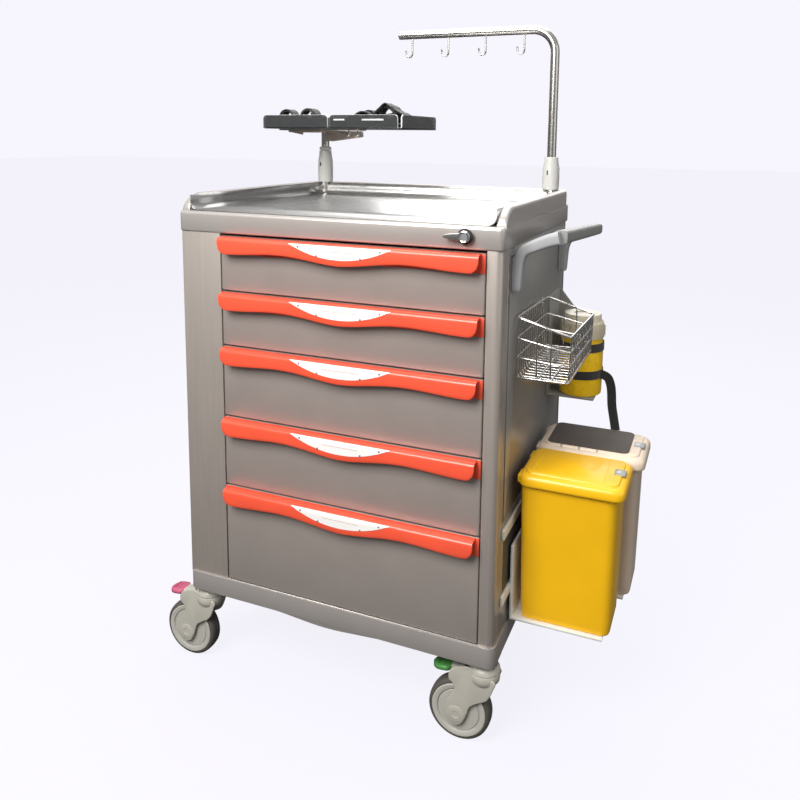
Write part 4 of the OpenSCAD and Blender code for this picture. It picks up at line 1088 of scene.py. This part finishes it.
def make_pedal(tag, mat, finish):
    """Brake pedal: a narrow stalk and a broad rounded tongue, dished on top."""
    x0, x1, y0, y1, _, z1 = layout("pedal_" + tag)
    tip, back, high = x0 + 0.2, x1 - 6.5, z1 - 6.5
    cy, wide = (y0 + y1) / 2, (y1 - y0) / 2
    rows = []
    n = 22
    for i in range(n + 1):
        t = i / n
        x = tip + (back + 2 - tip) * t
        nose = math.sqrt(max(0.02, 1 - (1 - min(1, t / 0.34)) ** 2))
        neck = 1 if t < 0.5 else 1 - 0.4 * (1 - math.cos(math.pi * min(1, (t - 0.5) / 0.16))) / 2
        half = wide * nose * neck
        mid = high - 3.5 + 2.5 * min(1, t / 0.6) - 2.5 * (1 - min(1, t / 0.5)) ** 2
        thick = (7 - 1.5 * t) * (0.45 + 0.55 * nose)
        ring = []
        for c, s in circle(1, 18):
            u = math.copysign(abs(c) ** 0.55, c)
            v = math.copysign(abs(s) ** 0.6, s)
            dish = 0.9 * (1 - abs(u)) if s > 0.3 and 0.12 < t < 0.6 else 0
            ring.append((x, cy + half * u, mid + thick * v - dish))
        rows.append(ring)
    tongue = loft_piece("pedal_%s_tongue" % tag, rows, mat, angle=70)
    # the stalk is grey like the castor
    tongue.data.materials.append(M["castor"])
    joint = place((tip + 0.66 * (back - tip), 0, 0)).x
    for p in tongue.data.polygons:
        p.material_index = 1 if p.center.x > joint else 0
    put(tongue, "brake_" + tag, finish, "pedal_" + tag)
    bm = bmesh.new()
    grip = wide * 0.62
    for i in range(5):
        x, z = tip + 12 + 5.5 * i, high + 3.6 + 0.15 * i
        section = ((x - 0.9, z - 1.4), (x + 0.9, z - 1.4), (x + 0.5, z + 0.5), (x - 0.5, z + 0.5))
        loft(bm, [[(u, y, v) for u, v in section] for y in (cy - grip, cy + grip)])
    put(object_of("pedal_%s_ribs" % tag, bm, mat), "brake_" + tag, finish)


# ---------------------------------------------------------------- all of it

make_slab()
make_guard()
make_liner()
make_swells()
make_base()
make_columns()
make_back_details()
make_drawers()
make_lock()
make_handle()
make_posts()
make_pole()
make_shelf_stand()
make_shelf_tray()
make_shelf_straps()
make_basket()
make_jar()
make_bin("front", "yellow", "bin_yellow")
make_bin("rear", "beige", "bin_beige")
put(soften("bin_carrier", 1.4, "carrier"), "cabinet", "carrier_white", "bin_carrier")
make_castor("fl")
make_pedal("fl", "pink", "pedal_pink")
make_castor("fr")
make_pedal("fr", "green", "pedal_green")
make_castor("rl")
make_castor("rr")
repaint("drawer_runners", "zinc")
repaint("castor_mounts", "zinc")

# ---------------------------------------------------------------- stage, light, camera

bm = bmesh.new()
bmesh.ops.create_grid(bm, x_segments=2, y_segments=2, size=30)
floor = object_of("floor", bm, "floor", smooth=False)
floor.location = (0, 0, -0.0005)
floor.visible_diffuse = False
floor.visible_glossy = False

# The room: pale where the camera sees it, dim below and brighter above as a light on the trolley.
world = bpy.data.worlds.new("soft_room")
bpy.context.scene.world = world
world.use_nodes = True
room = world.node_tree
room.nodes.clear()
seen = add(room, "Background", {0: (0.93, 0.915, 0.985, 1), 1: 1.0})
direction = add(room, "SeparateXYZ", {0: add(room, "TexCoord", {}).outputs["Generated"]})
height = room.nodes.new("ShaderNodeMath")
height.operation = "MULTIPLY_ADD"
fill(height, {0: direction.outputs["Z"], 1: 0.5, 2: 0.5})
ramp = add(room, "ValToRGB", {0: height.outputs[0]})
for position, level in ((0.0, 0.1), (0.42, 0.16), (0.52, 0.42), (0.8, 0.8), (1.0, 1.0)):
    element = ramp.color_ramp.elements.new(position)
    element.color = (level, level * 0.985, level * 0.97, 1)
# a new ramp's own two ends go
ramp.color_ramp.elements.remove(ramp.color_ramp.elements[0])
ramp.color_ramp.elements.remove(ramp.color_ramp.elements[-1])
lit = add(room, "Background", {0: ramp.outputs[0], 1: 0.62})
by_camera = add(room, "LightPath", {}).outputs["Is Camera Ray"]
mix = add(room, "MixShader", {0: by_camera, 1: lit.outputs[0], 2: seen.outputs[0]})
add(room, "OutputWorld", {0: mix.outputs[0]})


def area(name, at, look, size, power, colour=(1, 1, 1)):
    data = bpy.data.lights.new(name, "AREA")
    data.size = size
    data.energy = power
    data.color = colour
    ob = bpy.data.objects.new(name, data)
    bpy.context.collection.objects.link(ob)
    ob.location = at
    ob.rotation_euler = (Vector(look) - Vector(at)).to_track_quat("-Z", "Y").to_euler()


area("key", (-0.35, -2.0, 2.2), (0.02, 0, 0.75), 1.3, 84, (1, 0.98, 0.95))
area("top", (-0.1, 0.5, 2.9), (0, 0, 0.9), 1.8, 34, (1, 0.99, 0.97))
area("side", (2.4, -0.4, 1.5), (0.2, 0, 0.6), 1.6, 10, (0.98, 0.99, 1))
area("rear", (-0.4, 2.6, 2.0), (0, 0, 0.8), 1.8, 26)

AZ, EL, ROLL = math.radians(22.629), math.radians(7.885), math.radians(0.529)
ahead = Vector((-math.sin(AZ) * math.cos(EL), math.cos(AZ) * math.cos(EL), -math.sin(EL)))
right = Vector((math.cos(AZ), math.sin(AZ), 0))
up = right.cross(ahead)
right, up = (right * math.cos(ROLL) + up * math.sin(ROLL), up * math.cos(ROLL) - right * math.sin(ROLL))
camera = bpy.data.objects.new("camera", bpy.data.cameras.new("camera"))
bpy.context.collection.objects.link(camera)
camera.data.sensor_width = 36
camera.data.lens = 34.81
camera.data.shift_x = -0.006
camera.data.shift_y = -0.1945
camera.data.clip_start = 0.01
spot = place((663.7, -1226.5, 1114.3))
camera.matrix_world = Matrix((
    (right.x, up.x, -ahead.x, spot.x),
    (right.y, up.y, -ahead.y, spot.y),
    (right.z, up.z, -ahead.z, spot.z),
    (0, 0, 0, 1),
))
bpy.context.scene.camera = camera
bpy.context.scene.view_settings.view_transform = "Standard"
